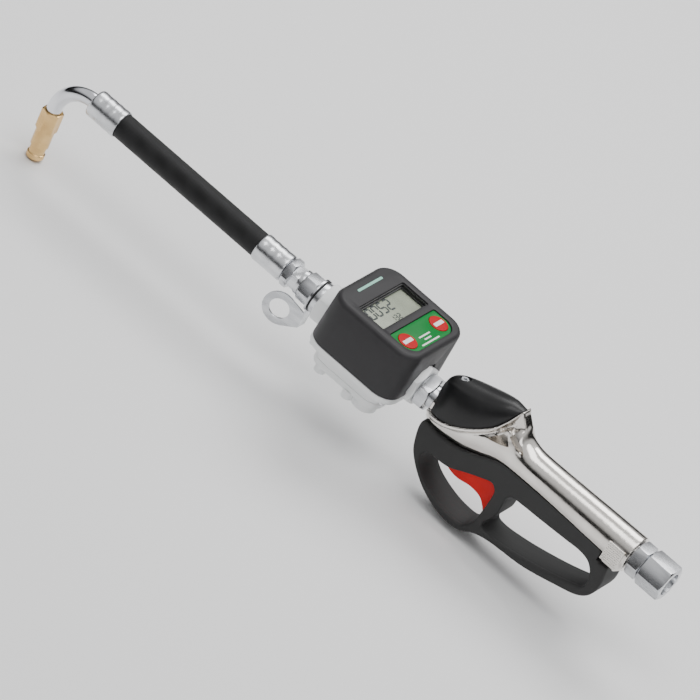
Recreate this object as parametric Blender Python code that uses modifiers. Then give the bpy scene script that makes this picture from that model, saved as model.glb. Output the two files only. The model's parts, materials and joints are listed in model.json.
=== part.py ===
"""Oil control gun with a digital in-line meter and a flexible spout.

The gun is built nose to the right: +X runs from the inlet to the nozzle, +Y is the left side
and +Z is up, away from the hand guard. Sizes are in metres; MM turns millimetres into metres.
While the pieces are modelled, x = 0 is the middle of the union between gun and meter and z = 0
is the outlet axis. The last step moves the whole gun so that the middle of its bounding box's
bottom is at the origin.
"""

import math

import bmesh
import bpy
import numpy as np
from mathutils import Matrix, Vector

MM = 0.001

# --- fits ---------------------------------------------------------------------------------
GAP = 0.3 * MM                 # clearance between touching pieces
SEGMENTS = 28                  # sides of a large round piece
SMALL_SEGMENTS = 16            # sides of a small round piece

# --- gun body -----------------------------------------------------------------------------
TUBE_AXIS_Z = 10.5 * MM        # inlet axis above the outlet axis
TUBE_FRONT_R = 14.2 * MM
TUBE_REAR_R = 15.6 * MM
TUBE_FRONT_X = -97.3 * MM
GRIP_LENGTH = 100.0 * MM
TUBE_REAR_X = TUBE_FRONT_X - GRIP_LENGTH
TUBE_BORE_R = 6.5 * MM
GUN_FRONT_X = -9.3 * MM
HEAD_BOTTOM_Z = -15.5 * MM
OUTLET_BOSS_R = 12.0 * MM
OUTLET_BOSS_LENGTH = 27.0 * MM
LUG_LENGTH = 19.0 * MM
LUG_HALF_W = 16.2 * MM
LUG_DROP = 16.0 * MM           # lug's bottom below the inlet axis
LUG_TOP = 8.0 * MM             # lug's top above the inlet axis

# --- rim and dome cover -------------------------------------------------------------------
DOME_FRONT_X = -7.0 * MM
DOME_LENGTH = 63.0 * MM
DOME_HALF_W = 20.5 * MM
DOME_HEIGHT = 32.1 * MM
DOME_TOP_Z = 43.3 * MM          # level that the dome's crown keeps to its tip
DOME_WALL = 2.0 * MM
RIM_LOW_Z = -3.9 * MM          # rim's height above the outlet axis at x = 0
RIM_CURL = 7.6                 # rim height gained per metre squared
RIM_KICK = 78.0                # what the curl gains behind RIM_KICK_X
RIM_KICK_X = -58.0 * MM
RIM_THICK = 4.0 * MM
RIM_NOSE_THICK = 3.5 * MM      # what the rim's tip gains in thickness
RIM_NOSE_HALF_W = 5.2 * MM
RIM_MARGIN = 1.3 * MM
RIM_TIP = 1.6 * MM             # how far the rim runs on behind the dome
DOME_STATIONS = 25
COVER_SCREW_X = -18.5 * MM
COVER_SCREW_R = 3.9 * MM
COVER_POST_R = 4.0 * MM
SCREW_SEAT_Z = 26.7 * MM       # where the cover screw's head sits

# --- valve --------------------------------------------------------------------------------
VALVE_X = -48.0 * MM
CHAMBER_R = 9.0 * MM
CHAMBER_BOSS_R = 12.5 * MM
CHAMBER_TOP_Z = 24.0 * MM
SEAT_TOP_Z = 2.0 * MM
SEAT_THICK = 3.0 * MM
SEAT_BORE_R = 5.0 * MM
LOWER_CAVITY_R = 5.5 * MM
LOWER_CAVITY_Z = -9.0 * MM
PASSAGE_Z = -4.8 * MM
PASSAGE_R = 3.8 * MM
STEM_R = 2.0 * MM
STEM_END_Z = -19.0 * MM
POPPET_R = 6.5 * MM
POPPET_THICK = 3.0 * MM
SPRING_R = 5.2 * MM
SPRING_WIRE_R = 0.55 * MM
SPRING_TURNS = 5
CAP_DEPTH = 6.0 * MM
CAP_HEX = 19.0 * MM

# --- guard and trigger --------------------------------------------------------------------
GUARD_HALF_W = 14.0 * MM
GUARD_ROUND = 2.4 * MM
GUARD_TOP_Z = 4.2 * MM
GUARD_TAIL_X = TUBE_REAR_X + 9.0 * MM
TRIGGER_HALF_W = 5.5 * MM
TRIGGER_SLOT_HALF_W = 6.3 * MM
PIVOT_X = -38.0 * MM
PIVOT_Z = -26.0 * MM
PIVOT_BOSS_R = 5.0 * MM
PIN_R = 2.0 * MM
PIN_END = 12.3 * MM            # blind depth of the pin on the left side
ARM_TOP_Z = STEM_END_Z - GAP
GUARD_SCREW_FRONT_X = -27.5 * MM
GUARD_SCREW_REAR_X = TUBE_REAR_X + 42.0 * MM
GUARD_SCREW_HEAD_R = 3.4 * MM
GUARD_SCREW_R = 1.7 * MM

# --- inlet --------------------------------------------------------------------------------
INLET_THREAD_R = 9.2 * MM
INLET_THREAD_LENGTH = 13.0 * MM
INLET_HEX = 25.3 * MM
INLET_HEX_LENGTH = 10.5 * MM
INLET_NECK_R = 6.8 * MM
INLET_FLANGE_R = 9.2 * MM
INLET_FLANGE_THICK = 2.0 * MM
SWIVEL_HEX = 26.8 * MM
SWIVEL_LENGTH = 22.0 * MM
SWIVEL_WALL = 4.0 * MM         # front wall of the swivel nut
SOCKET_R = 9.6 * MM
FLOW_R = 5.0 * MM              # bore of every fitting

# --- union between gun and meter ----------------------------------------------------------
UNION_HEX = 26.0 * MM
UNION_HALF = 4.8 * MM
UNION_COLLAR_R = 9.5 * MM
UNION_THREAD_R = 8.0 * MM
UNION_THREAD_LENGTH = 12.0 * MM

# --- meter --------------------------------------------------------------------------------
METER_REAR_X = 9.5 * MM
METER_LENGTH = 82.0 * MM
METER_X = METER_REAR_X + METER_LENGTH / 2
METER_WIDTH = 82.0 * MM
METER_CORNER = 16.0 * MM
METER_TOP_Z = 37.2 * MM
METER_BASE_Z = -5.0 * MM
METER_DRAFT = 0.6 * MM         # how far each wall of the cover leans in
METER_EDGE = 3.0 * MM          # rounding of the cover's top edge
COVER_WALL = 2.6 * MM
COVER_ROOF = 3.3 * MM
LIP_THICK = 4.7 * MM
LIP_SCREW_R = 1.3 * MM
PORT_HEX = 31.0 * MM
PORT_REACH = METER_LENGTH / 2 + 13 * MM   # front port's face from the meter's middle
GEAR_OFFSET = 12.0 * MM
GEAR_TEETH = 12
GEAR_ADDENDUM = 1.7 * MM
GEAR_DEDENDUM = 2.3 * MM
GEAR_BACKLASH = 0.5 * MM
CHAMBER_FLOOR_Z = -PORT_HEX / math.sqrt(3) - 1.1 * MM
CHAMBER_ROOF_Z = 8.0 * MM
METER_CORE_TOP_Z = 12.0 * MM
GEAR_CHAMBER_R = GEAR_OFFSET + GEAR_ADDENDUM + GAP
SHAFT_R = 2.5 * MM
BASE_PLATE_THICK = 5.0 * MM
BASE_BOSS_R = 4.8 * MM
BASE_BOTTOM_Z = -30.0 * MM
ROUND_CAP_R = 10.5 * MM
ROUND_CAP_BOTTOM_Z = -33.5 * MM
LCD_X = METER_X + 6.9 * MM
LCD_LENGTH = 25.5 * MM
LCD_WIDTH = 63.0 * MM
KEYPAD_X = METER_X - 22.8 * MM
KEYPAD_LENGTH = 22.5 * MM
KEYPAD_WIDTH = 62.0 * MM
KEYPAD_THICK = 0.9 * MM
KEYPAD_SUNK = 0.9 * MM
BUTTON_Y = 21.6 * MM
BUTTON_R = 7.8 * MM
BUTTON_PROUD = 0.5 * MM
BUTTON_THICK = 2.4 * MM
BOARD_Z = 24.5 * MM
BOARD_THICK = 1.5 * MM
BATTERY_R = 5.5 * MM
BATTERY_LENGTH = 46.0 * MM

# --- outlet fittings, hose and spout ------------------------------------------------------
LOCK_RING_LENGTH = 4.4 * MM
LOCK_RING_R = 13.3 * MM
GASKET_THICK = 0.6 * MM
HANGER_THICK = 1.6 * MM
HANGER_R = 14.3 * MM
HANGER_DROP = 25.7 * MM        # eye's centre below the axis
HANGER_REACH = 18.5 * MM       # eye's centre ahead of the disc
HANGER_EYE_R = 13.8 * MM
HANGER_HOLE_R = 8.2 * MM
HANGER_FOLD = math.radians(12)
NIPPLE_HEX = 21.0 * MM
NIPPLE_HEX_LENGTH = 11.5 * MM
NIPPLE_THREAD_R = 8.0 * MM
COUPLING_RING_R = 10.4 * MM
COUPLING_RING_LENGTH = 3.0 * MM
COUPLING_NECK_HEX = 18.0 * MM
COUPLING_NECK_LENGTH = 6.5 * MM
COUPLING_HEX = 21.0 * MM
COUPLING_HEX_LENGTH = 6.5 * MM
HOSE_R = 10.15 * MM
HOSE_BORE_R = 6.5 * MM
HOSE_VISIBLE = 139.8 * MM
FERRULE_WALL = 0.9 * MM
FERRULE_R = HOSE_R + GAP + FERRULE_WALL
FERRULE_LENGTH = 27.6 * MM
FERRULE_END = 2.4 * MM
TAIL_R = 6.0 * MM
SPOUT_R = 6.0 * MM
SPOUT_BEND_R = 24.7 * MM
SPOUT_BEND = math.radians(97)
SPOUT_STRAIGHT = 2.5 * MM
NOZZLE_SOCKET = 8.0 * MM
NOZZLE_HEX = 15.0 * MM
NOZZLE_HEX_LENGTH = 17.3 * MM
NOZZLE_R = 7.2 * MM
NOZZLE_LENGTH = 31.4 * MM
NOZZLE_CHAMBER_R = 5.0 * MM
NOZZLE_SEAT_R = 3.0 * MM
NOZZLE_SEAT_AT = 14.0 * MM
TIP_GROOVE_R = 6.1 * MM
TIP_GROOVE_LENGTH = 6.2 * MM
TIP_R = 7.1 * MM
TIP_COLLAR_LENGTH = 4.9 * MM
TIP_MALE_R = 4.7 * MM
TIP_MALE_LENGTH = 8.0 * MM
MOUTH_R = 2.4 * MM
NOZZLE_POPPET_R = 4.2 * MM
NOZZLE_SPRING_R = 3.2 * MM
NOZZLE_SPRING_WIRE_R = 0.4 * MM

FINISHES = {
    "nickel": ((0.78, 0.76, 0.73), 0.16, 1.0),
    "zinc": ((0.72, 0.73, 0.74), 0.28, 1.0),
    "steel": ((0.62, 0.63, 0.65), 0.30, 1.0),
    "brass": ((0.80, 0.58, 0.32), 0.28, 1.0),
    "casting": ((0.86, 0.87, 0.87), 0.38, 0.2),
    "black": ((0.022, 0.023, 0.024), 0.42, 0.0),
    "charcoal": ((0.065, 0.065, 0.068), 0.55, 0.0),
    "red": ((0.78, 0.03, 0.02), 0.35, 0.0),
    "green": ((0.02, 0.42, 0.14), 0.45, 0.0),
    "rubber": ((0.015, 0.015, 0.016), 0.60, 0.0),
    "glass": ((0.75, 0.80, 0.78), 0.05, 0.0),
    "lcd": ((0.47, 0.52, 0.41), 0.35, 0.0),
    "board": ((0.03, 0.20, 0.08), 0.50, 0.0),
    "battery": ((0.10, 0.22, 0.45), 0.35, 0.0),
    "plastic": ((0.80, 0.80, 0.76), 0.45, 0.0),
}


# --- scene helpers ------------------------------------------------------------------------

def clear_scene():
    """Remove every object of the scene."""
    for existing in list(bpy.data.objects):
        bpy.data.objects.remove(existing, do_unlink=True)


def new_collection(name):
    """Make a collection and link it to the scene."""
    collection = bpy.data.collections.new(name)
    bpy.context.scene.collection.children.link(collection)
    return collection


def new_material(name, finish):
    """Make a Principled material with one of the FINISHES."""
    colour, roughness, metallic = FINISHES[finish]
    material = bpy.data.materials.new(name)
    material.use_nodes = True
    shader = material.node_tree.nodes["Principled BSDF"]
    shader.inputs["Base Color"].default_value = (*colour, 1.0)
    shader.inputs["Roughness"].default_value = roughness
    shader.inputs["Metallic"].default_value = metallic
    material.diffuse_color = (*colour, 1.0)
    return material


def new_tool(mesh):
    """Put a mesh in the tools collection, as a hidden operand of a Boolean."""
    tool = bpy.data.objects.new("tool", mesh)
    bpy.data.collections["tools"].objects.link(tool)
    tool.hide_render = True
    tool.display_type = "WIRE"
    return tool


def part(name, finish, tool, smooth_angle=35):
    """Turn a tool object into a part: its own name, collection and material."""
    bpy.data.collections["tools"].objects.unlink(tool)
    bpy.data.collections["oil_control_gun"].objects.link(tool)
    tool.name = name
    tool.data.name = name
    tool.hide_render = False
    tool.display_type = "TEXTURED"
    tool.data.materials.clear()
    tool.data.materials.append(new_material(name, finish))
    tool.data.shade_smooth()
    tool.data.set_sharp_from_angle(angle=math.radians(smooth_angle))
    return tool


def combine(base, operation, tools):
    """Add one exact Boolean modifier to base for each tool."""
    for tool in tools:
        modifier = base.modifiers.new(operation.lower(), "BOOLEAN")
        modifier.operation = operation
        modifier.solver = "EXACT"
        modifier.object = tool
    return base


def add(base, *tools):
    """Join tools to base."""
    return combine(base, "UNION", tools)


def cut(base, *tools):
    """Cut tools out of base."""
    return combine(base, "DIFFERENCE", tools)


def keep(base, *tools):
    """Keep only what base shares with each tool."""
    return combine(base, "INTERSECT", tools)


def mesh_from(bm):
    """Finish a bmesh as a mesh whose faces point out."""
    bmesh.ops.recalc_face_normals(bm, faces=bm.faces)
    mesh = bpy.data.meshes.new("shape")
    bm.to_mesh(mesh)
    bm.free()
    return mesh


# --- shapes -------------------------------------------------------------------------------

AXIS_TURN = {
    "X": Matrix.Rotation(math.radians(90), 4, "Y"),
    "Y": Matrix.Rotation(math.radians(-90), 4, "X"),
    "Z": Matrix.Identity(4),
}


def block(x, y, z):
    """Make a box from its (low, high) limits along each axis."""
    bm = bmesh.new()
    bmesh.ops.create_cube(bm, size=1.0)
    size = Vector((x[1] - x[0], y[1] - y[0], z[1] - z[0]))
    middle = Vector((x[1] + x[0], y[1] + y[0], z[1] + z[0])) / 2
    bmesh.ops.scale(bm, vec=size, verts=bm.verts)
    bmesh.ops.translate(bm, vec=middle, verts=bm.verts)
    return new_tool(mesh_from(bm))


def prism(radius, low, high, axis, at, segments, turn=0.0, end_radius=None):
    """Make a round or many-sided bar from low to high along an axis.

    at holds the centre's other two coordinates, in X, Y, Z order.
    """
    bm = bmesh.new()
    far_radius = radius if end_radius is None else end_radius
    bmesh.ops.create_cone(bm, cap_ends=True, segments=segments, radius1=radius,
                          radius2=far_radius, depth=high - low)
    bmesh.ops.rotate(bm, cent=(0, 0, 0), matrix=Matrix.Rotation(turn, 3, "Z"), verts=bm.verts)
    bmesh.ops.transform(bm, matrix=AXIS_TURN[axis], verts=bm.verts)
    centre = list(at)
    centre.insert("XYZ".index(axis), (low + high) / 2)
    bmesh.ops.translate(bm, vec=centre, verts=bm.verts)
    return new_tool(mesh_from(bm))


def rod(radius, low, high, axis="X", at=(0, 0), segments=SEGMENTS, end_radius=None):
    """Make a round bar, or a cone when end_radius is given."""
    return prism(radius, low, high, axis, at, segments, end_radius=end_radius)


def hexagon(flats, low, high, axis="X", at=(0, 0), turn=0.0):
    """Make a hexagonal bar with chamfered corners, measured across its flats."""
    corner = flats / math.sqrt(3)
    bar = prism(corner, low, high, axis, at, 6, turn)
    drop = (corner - flats / 2) * 0.6
    profile = [(0, high), (flats / 2, high), (corner, high - drop), (corner, low + drop),
               (flats / 2, low), (0, low)]
    return keep(bar, turned(profile, axis, at))


def turned(profile, axis="X", at=(0, 0), segments=SEGMENTS, closed=False):
    """Turn a (radius, along) profile, listed from its far end to its near end, about an axis.

    A closed profile makes a ring: it runs down its outer side and back up its inner side.
    """
    mesh = bpy.data.meshes.new("profile")
    verts = [(radius, 0, along) for radius, along in profile]
    edges = [(i, i + 1) for i in range(len(verts) - 1)]
    if closed:
        edges.append((len(verts) - 1, 0))
    mesh.from_pydata(verts, edges, [])
    tool = new_tool(mesh)
    screw = tool.modifiers.new("turn", "SCREW")
    screw.axis = "Z"
    screw.steps = segments
    screw.render_steps = segments
    screw.use_merge_vertices = True
    screw.merge_threshold = 0.00001
    location = list(at)
    location.insert("XYZ".index(axis), 0)
    tool.matrix_world = Matrix.Translation(location) @ AXIS_TURN[axis]
    return baked(tool)


def ring(outer, inner, low, high, axis="X", at=(0, 0), segments=SEGMENTS):
    """Make a plain ring."""
    profile = [(outer, high), (outer, low), (inner, low), (inner, high)]
    return turned(profile, axis, at, segments, closed=True)


def baked(tool):
    """Replace an object by the mesh it evaluates to, in the same place."""
    bpy.context.view_layer.update()
    graph = bpy.context.evaluated_depsgraph_get()
    mesh = bpy.data.meshes.new_from_object(tool.evaluated_get(graph))
    bm = bmesh.new()
    bm.from_mesh(mesh)
    bm.transform(tool.matrix_world)
    bmesh.ops.remove_doubles(bm, verts=bm.verts, dist=0.000001)
    bpy.data.objects.remove(tool, do_unlink=True)
    return new_tool(mesh_from(bm))


def outline_plate(points, low, high, axis="Y", smooth=True, resolution=3, holes=()):
    """Extrude a closed outline along an axis.

    points are (first, second) coordinates in the plane across the axis: (x, z) for Y and
    (x, y) for Z. A smooth outline is a Bezier curve through the points.
    """
    curve = bpy.data.curves.new("outline", "CURVE")
    curve.dimensions = "2D"
    curve.fill_mode = "BOTH"
    curve.extrude = (high - low) / 2
    curve.resolution_u = resolution
    for loop in (points, *holes):
        spline = curve.splines.new("BEZIER" if smooth else "POLY")
        if smooth:
            spline.bezier_points.add(len(loop) - 1)
            for knot, point in zip(spline.bezier_points, loop):
                knot.co = (*point, 0)
                knot.handle_left_type = "AUTO"
                knot.handle_right_type = "AUTO"
        else:
            spline.points.add(len(loop) - 1)
            for knot, point in zip(spline.points, loop):
                knot.co = (*point, 0, 1)
        spline.use_cyclic_u = True
    tool = bpy.data.objects.new("outline", curve)
    bpy.data.collections["tools"].objects.link(tool)
    middle = (high + low) / 2
    if axis == "Y":
        turn = Matrix.Rotation(math.radians(90), 4, "X")
        tool.matrix_world = Matrix.Translation((0, middle, 0)) @ turn
    else:
        tool.matrix_world = Matrix.Translation((0, 0, middle))
    return baked(tool)


def arc(centre, radius, start, end, steps):
    """List points along an arc, angles in degrees."""
    angles = np.radians(np.linspace(start, end, steps))
    return [(centre[0] + radius * math.cos(a), centre[1] + radius * math.sin(a)) for a in angles]


def rounded_rectangle(centre, length, width, corner, steps=5):
    """List the outline of a rectangle with round corners."""
    points = []
    for quarter, (side_x, side_y) in enumerate(((1, 1), (-1, 1), (-1, -1), (1, -1))):
        middle = (centre[0] + side_x * (length / 2 - corner),
                  centre[1] + side_y * (width / 2 - corner))
        points += arc(middle, corner, quarter * 90, quarter * 90 + 90, steps)
    return points


def loft(rings):
    """Skin a closed solid through rings that all have the same number of points."""
    bm = bmesh.new()
    loops = [[bm.verts.new(point) for point in points] for points in rings]
    for near, far in zip(loops, loops[1:]):
        for i in range(len(near)):
            bm.faces.new((near[i - 1], near[i], far[i], far[i - 1]))
    bm.faces.new(loops[0])
    bm.faces.new(loops[-1])
    return new_tool(mesh_from(bm))


def pipe(points, radius, sides):
    """Make a round bar along a path as a curve with filled caps."""
    curve = bpy.data.curves.new("path", "CURVE")
    curve.dimensions = "3D"
    curve.bevel_depth = radius
    curve.bevel_resolution = sides // 2 - 2
    curve.use_fill_caps = True
    spline = curve.splines.new("POLY")
    spline.points.add(len(points) - 1)
    for knot, point in zip(spline.points, points):
        knot.co = (*point, 1)
    tool = bpy.data.objects.new("path", curve)
    bpy.data.collections["tools"].objects.link(tool)
    return baked(tool)


def coil(radius, wire, low, high, turns, at, direction=None):
    """Make a compression spring along Z, or along direction from the point at."""
    steps = turns * 9
    points = []
    for i in range(steps + 1):
        angle = 2 * math.pi * turns * i / steps
        along = low + wire + (high - low - 2 * wire) * i / steps
        points.append(Vector((radius * math.cos(angle), radius * math.sin(angle), along)))
    if direction is None:
        points = [Vector((at[0], at[1], 0)) + point for point in points]
    else:
        turn = Vector((0, 0, 1)).rotation_difference(direction)
        points = [at + turn @ point for point in points]
    return pipe(points, wire, 6)


def screw(head_r, head, shank_r, shank, axis, at, top, sign=1):
    """Make a pan-head screw whose head ends at top; sign 1 points the head along the axis."""
    profile = [(0, top), (head_r * 0.8, top), (head_r, top - 0.35 * head * sign),
               (head_r, top - head * sign), (shank_r, top - head * sign),
               (shank_r, top - (head + shank) * sign), (0, top - (head + shank) * sign)]
    if sign < 0:
        profile.reverse()
    body = turned(profile, axis, at, SMALL_SEGMENTS)
    socket = prism(head_r * 0.42, top - 0.55 * head, top + head, axis, at, 6)
    if sign < 0:
        socket = prism(head_r * 0.42, top - head, top + 0.55 * head, axis, at, 6)
    return cut(body, socket)


# --- gun body -----------------------------------------------------------------------------

def along_dome(x):
    """Return how far x lies along the dome, from 0 at its front to 1 at its tip."""
    return min(max((DOME_FRONT_X - x) / DOME_LENGTH, 0.004), 0.996)


def tear(share, rise, fall):
    """Return a tear-shaped curve of share, 1 at its highest."""
    peak = rise / (rise + fall)
    return (share / peak) ** rise * ((1 - share) / (1 - peak)) ** fall


def rim_half_width(x):
    """Return the dome's half width at x."""
    return DOME_HALF_W * tear(along_dome(x), 0.45, 0.56)


def rim_height(x):
    """Return the height of the dome's seat at x."""
    x = max(x, DOME_FRONT_X - DOME_LENGTH)
    kick = max(RIM_KICK_X - x, 0.0)
    return RIM_LOW_Z + RIM_CURL * x * x + RIM_KICK * kick * kick


def dome_height(x):
    """Return the dome's height above its seat at x."""
    height = DOME_HEIGHT * tear(along_dome(x), 0.13, 0.41)
    return min(height, DOME_TOP_Z - rim_height(x))


def dome_stations(inset=0.0):
    """List x values along the dome, closer together at its ends."""
    front = DOME_FRONT_X - inset
    length = DOME_LENGTH - 2 * inset
    shares = (1 - np.cos(np.linspace(0.12, math.pi - 0.10, DOME_STATIONS))) / 2
    return [front - length * float(share) for share in shares]


def body_stations():
    """List the body's sections: x, middle height, half width, height up, depth down."""
    tube = TUBE_AXIS_Z
    front_r = TUBE_FRONT_R
    return [
        (-10 * MM, -4 * MM, 13.0 * MM, 2.5 * MM, -HEAD_BOTTOM_Z - 4.5 * MM),
        (-16 * MM, -4.5 * MM, 15.5 * MM, 2.5 * MM, -HEAD_BOTTOM_Z - 4.5 * MM),
        (-30 * MM, -1 * MM, 18.0 * MM, 2.5 * MM, -HEAD_BOTTOM_Z - 1 * MM),
        (-45 * MM, 5 * MM, 18.5 * MM, 3.5 * MM, -HEAD_BOTTOM_Z + 4 * MM),
        (-60 * MM, 12 * MM, 16.0 * MM, 9.0 * MM, 24.0 * MM),
        (-70 * MM, 13 * MM, 14.6 * MM, 15.5 * MM, 21.5 * MM),
        (-79 * MM, tube + 1.5 * MM, 14.2 * MM, 23.5 * MM, 18.0 * MM),
        (-86 * MM, tube, 14.1 * MM, 17.8 * MM, 15.0 * MM),
        (TUBE_FRONT_X, tube, front_r, front_r + 0.3 * MM, front_r),
        (TUBE_FRONT_X - 6 * MM, tube, front_r, front_r, front_r),
        (TUBE_REAR_X, tube, TUBE_REAR_R, TUBE_REAR_R, TUBE_REAR_R),
    ]


def blend_stations(rows, xs):
    """Read smooth values between station rows at each x, as a monotone cubic."""
    table = np.array(sorted(rows))
    place, values = table[:, 0], table[:, 1:]
    slopes = np.diff(values, axis=0) / np.diff(place)[:, None]
    tangents = np.zeros_like(values)
    same = slopes[1:] * slopes[:-1] > 0
    total = slopes[1:] + slopes[:-1]
    safe = np.where(same, total, 1.0)
    tangents[1:-1] = np.where(same, 2 * slopes[1:] * slopes[:-1] / safe, 0.0)
    result = []
    for x in xs:
        i = int(np.clip(np.searchsorted(place, x) - 1, 0, len(place) - 2))
        span = place[i + 1] - place[i]
        t = (x - place[i]) / span
        near = (1 + 2 * t) * (1 - t) ** 2 * values[i] + t * (1 - t) ** 2 * span * tangents[i]
        far = t * t * (3 - 2 * t) * values[i + 1] - t * t * (1 - t) * span * tangents[i + 1]
        result.append(near + far)
    return result


def body_shell(grow=0.0, sides=28):
    """Skin the body's outer shape, grown by a clearance when it is a cutter."""
    rows = body_stations()
    xs = [row[0] for row in rows]
    middles = [(a + b) / 2 for a, b in zip(xs, xs[1:-1])]
    xs = sorted(xs + middles, reverse=True)
    ends = {xs[0]: xs[0] + grow * 40, xs[-1]: xs[-1] - grow * 40}
    rings = []
    for x, (middle, half, up, down) in zip(xs, blend_stations(rows, xs)):
        points = []
        for i in range(sides):
            angle = 2 * math.pi * i / sides
            rise = (up if math.sin(angle) > 0 else down) + grow
            points.append((ends.get(x, x), (half + grow) * math.cos(angle),
                           middle + rise * math.sin(angle)))
        rings.append(points)
    return loft(rings)


def rim_flange():
    """Skin the flange that the dome cover sits on."""
    rings = []
    stretch = (DOME_LENGTH + RIM_MARGIN + RIM_TIP) / DOME_LENGTH
    for station in dome_stations():
        x = DOME_FRONT_X + RIM_MARGIN + (station - DOME_FRONT_X) * stretch
        half = rim_half_width(station) + RIM_MARGIN
        share = along_dome(station)
        if share > 0.5:
            half = max(half, RIM_NOSE_HALF_W)
        top = rim_height(x)
        low = top - RIM_THICK - RIM_NOSE_THICK * share ** 3
        rings.append([(x, -half, top), (x, half, top), (x, half - RIM_MARGIN, low),
                      (x, RIM_MARGIN - half, low)])
    return loft(rings)


def web_pocket(side):
    """Make the cutter of the three-cornered pocket behind the rim, on one side."""
    corners = [(-60 * MM, 13 * MM), (-76 * MM, 16.5 * MM), (-70 * MM, 25 * MM)]
    near, far = 10.5 * MM, 22 * MM
    low, high = (near, far) if side > 0 else (-far, -near)
    return outline_plate(corners, low, high, smooth=False)


def valve_at():
    """Return the valve axis's place."""
    return (VALVE_X, 0)


def make_gun_body():
    """Cast body: head, rim, valve chamber and the tube that serves as a handle."""
    body = body_shell()
    lug = block((TUBE_REAR_X + 0.8 * MM, TUBE_REAR_X + LUG_LENGTH), (-LUG_HALF_W, LUG_HALF_W),
                (TUBE_AXIS_Z - LUG_DROP, TUBE_AXIS_Z + LUG_TOP))
    bevel = lug.modifiers.new("chamfer", "BEVEL")
    bevel.width = 4.0 * MM
    bevel.segments = 1
    boss_end = GUN_FRONT_X - OUTLET_BOSS_LENGTH
    add(body, rim_flange(), lug,
        rod(OUTLET_BOSS_R, boss_end, GUN_FRONT_X + 1 * MM),
        rod(CHAMBER_BOSS_R, SEAT_TOP_Z, CHAMBER_TOP_Z, "Z", valve_at()),
        rod(COVER_POST_R, 8 * MM, CHAMBER_TOP_Z, "Z", (COVER_SCREW_X, 0), SMALL_SEGMENTS))
    cut(body, rod(OUTLET_BOSS_R + 0.5 * MM, GUN_FRONT_X, 5 * MM),
        rod(UNION_THREAD_R + GAP, GUN_FRONT_X - UNION_THREAD_LENGTH - 2 * MM, 6 * MM),
        rod(PASSAGE_R, VALVE_X, GUN_FRONT_X - UNION_THREAD_LENGTH, at=(0, PASSAGE_Z),
            segments=SMALL_SEGMENTS),
        rod(CHAMBER_R, SEAT_TOP_Z - SEAT_THICK - GAP, CHAMBER_TOP_Z + 9 * MM, "Z", valve_at()),
        rod(LOWER_CAVITY_R, LOWER_CAVITY_Z, SEAT_TOP_Z, "Z", valve_at(), SMALL_SEGMENTS),
        rod(STEM_R + GAP, HEAD_BOTTOM_Z - 9 * MM, SEAT_TOP_Z, "Z", valve_at(), SMALL_SEGMENTS),
        rod(STEM_R * 2, HEAD_BOTTOM_Z - 9 * MM, HEAD_BOTTOM_Z + 3.3 * MM, "Z", valve_at(),
            SMALL_SEGMENTS),
        rod(TUBE_BORE_R, TUBE_REAR_X - 5 * MM, VALVE_X - CHAMBER_R / 2, at=(0, TUBE_AXIS_Z)),
        rod(INLET_THREAD_R + GAP, TUBE_REAR_X - 5 * MM,
            TUBE_REAR_X + INLET_THREAD_LENGTH + 1 * MM, at=(0, TUBE_AXIS_Z)),
        rod(2.1 * MM, 13.5 * MM, CHAMBER_TOP_Z + 5 * MM, "Z", (COVER_SCREW_X, 0), 12),
        rod(GUARD_SCREW_R + GAP, HEAD_BOTTOM_Z - 5 * MM, HEAD_BOTTOM_Z + 5.5 * MM, "Z",
            (GUARD_SCREW_FRONT_X, 0), 12),
        rod(GUARD_SCREW_R + GAP, TUBE_AXIS_Z - TUBE_REAR_R - 5 * MM,
            TUBE_AXIS_Z - TUBE_BORE_R - 1.5 * MM, "Z", (GUARD_SCREW_REAR_X, 0), 12),
        web_pocket(1), web_pocket(-1))
    return part("gun_body", "nickel", body)


def dome_solid(inset, drop):
    """Skin the dome's shape, inset from its outer surface, down to drop below its seat."""
    rings = []
    steps = 14
    for x in dome_stations(inset):
        half = max(rim_half_width(x) - inset, 0.6 * MM)
        height = max(dome_height(x) - inset, 0.6 * MM)
        base = rim_height(x) + GAP - drop
        points = []
        for i in range(steps + 1):
            angle = math.pi * i / steps
            across = math.copysign(abs(math.cos(angle)) ** 0.85, math.cos(angle))
            points.append((x, half * across, base + (height + drop) * math.sin(angle) ** 0.9))
        rings.append(points)
    return loft(rings)


def make_top_cover():
    """Moulded dome over the valve cap, arched over the outlet boss."""
    cover = dome_solid(0.0, 0.0)
    post_gap = COVER_POST_R + 0.7 * MM
    add(cover, rod(COVER_SCREW_R + 1.8 * MM, CHAMBER_TOP_Z + GAP, 29 * MM, "Z",
                   (COVER_SCREW_X, 0), SMALL_SEGMENTS))
    cavity = cut(dome_solid(DOME_WALL, 2 * MM),
                 rod(COVER_SCREW_R + 1.8 * MM, CHAMBER_TOP_Z + GAP, 40 * MM, "Z",
                     (COVER_SCREW_X, 0), SMALL_SEGMENTS))
    cut(cover, cavity,
        rod(OUTLET_BOSS_R + 0.5 * MM, GUN_FRONT_X - OUTLET_BOSS_LENGTH - 1 * MM, 5 * MM),
        rod(post_gap, -5 * MM, CHAMBER_TOP_Z + GAP, "Z", (COVER_SCREW_X, 0), SMALL_SEGMENTS),
        rod(2.2 * MM, 0, 50 * MM, "Z", (COVER_SCREW_X, 0), 12),
        rod(COVER_SCREW_R + GAP, SCREW_SEAT_Z, 50 * MM, "Z", (COVER_SCREW_X, 0),
            SMALL_SEGMENTS))
    part("top_cover", "black", cover)
    part("cover_screw", "zinc", screw(COVER_SCREW_R, 2.6 * MM, 1.8 * MM, 13 * MM, "Z",
                                      (COVER_SCREW_X, 0), SCREW_SEAT_Z + GAP + 2.6 * MM))


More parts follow.
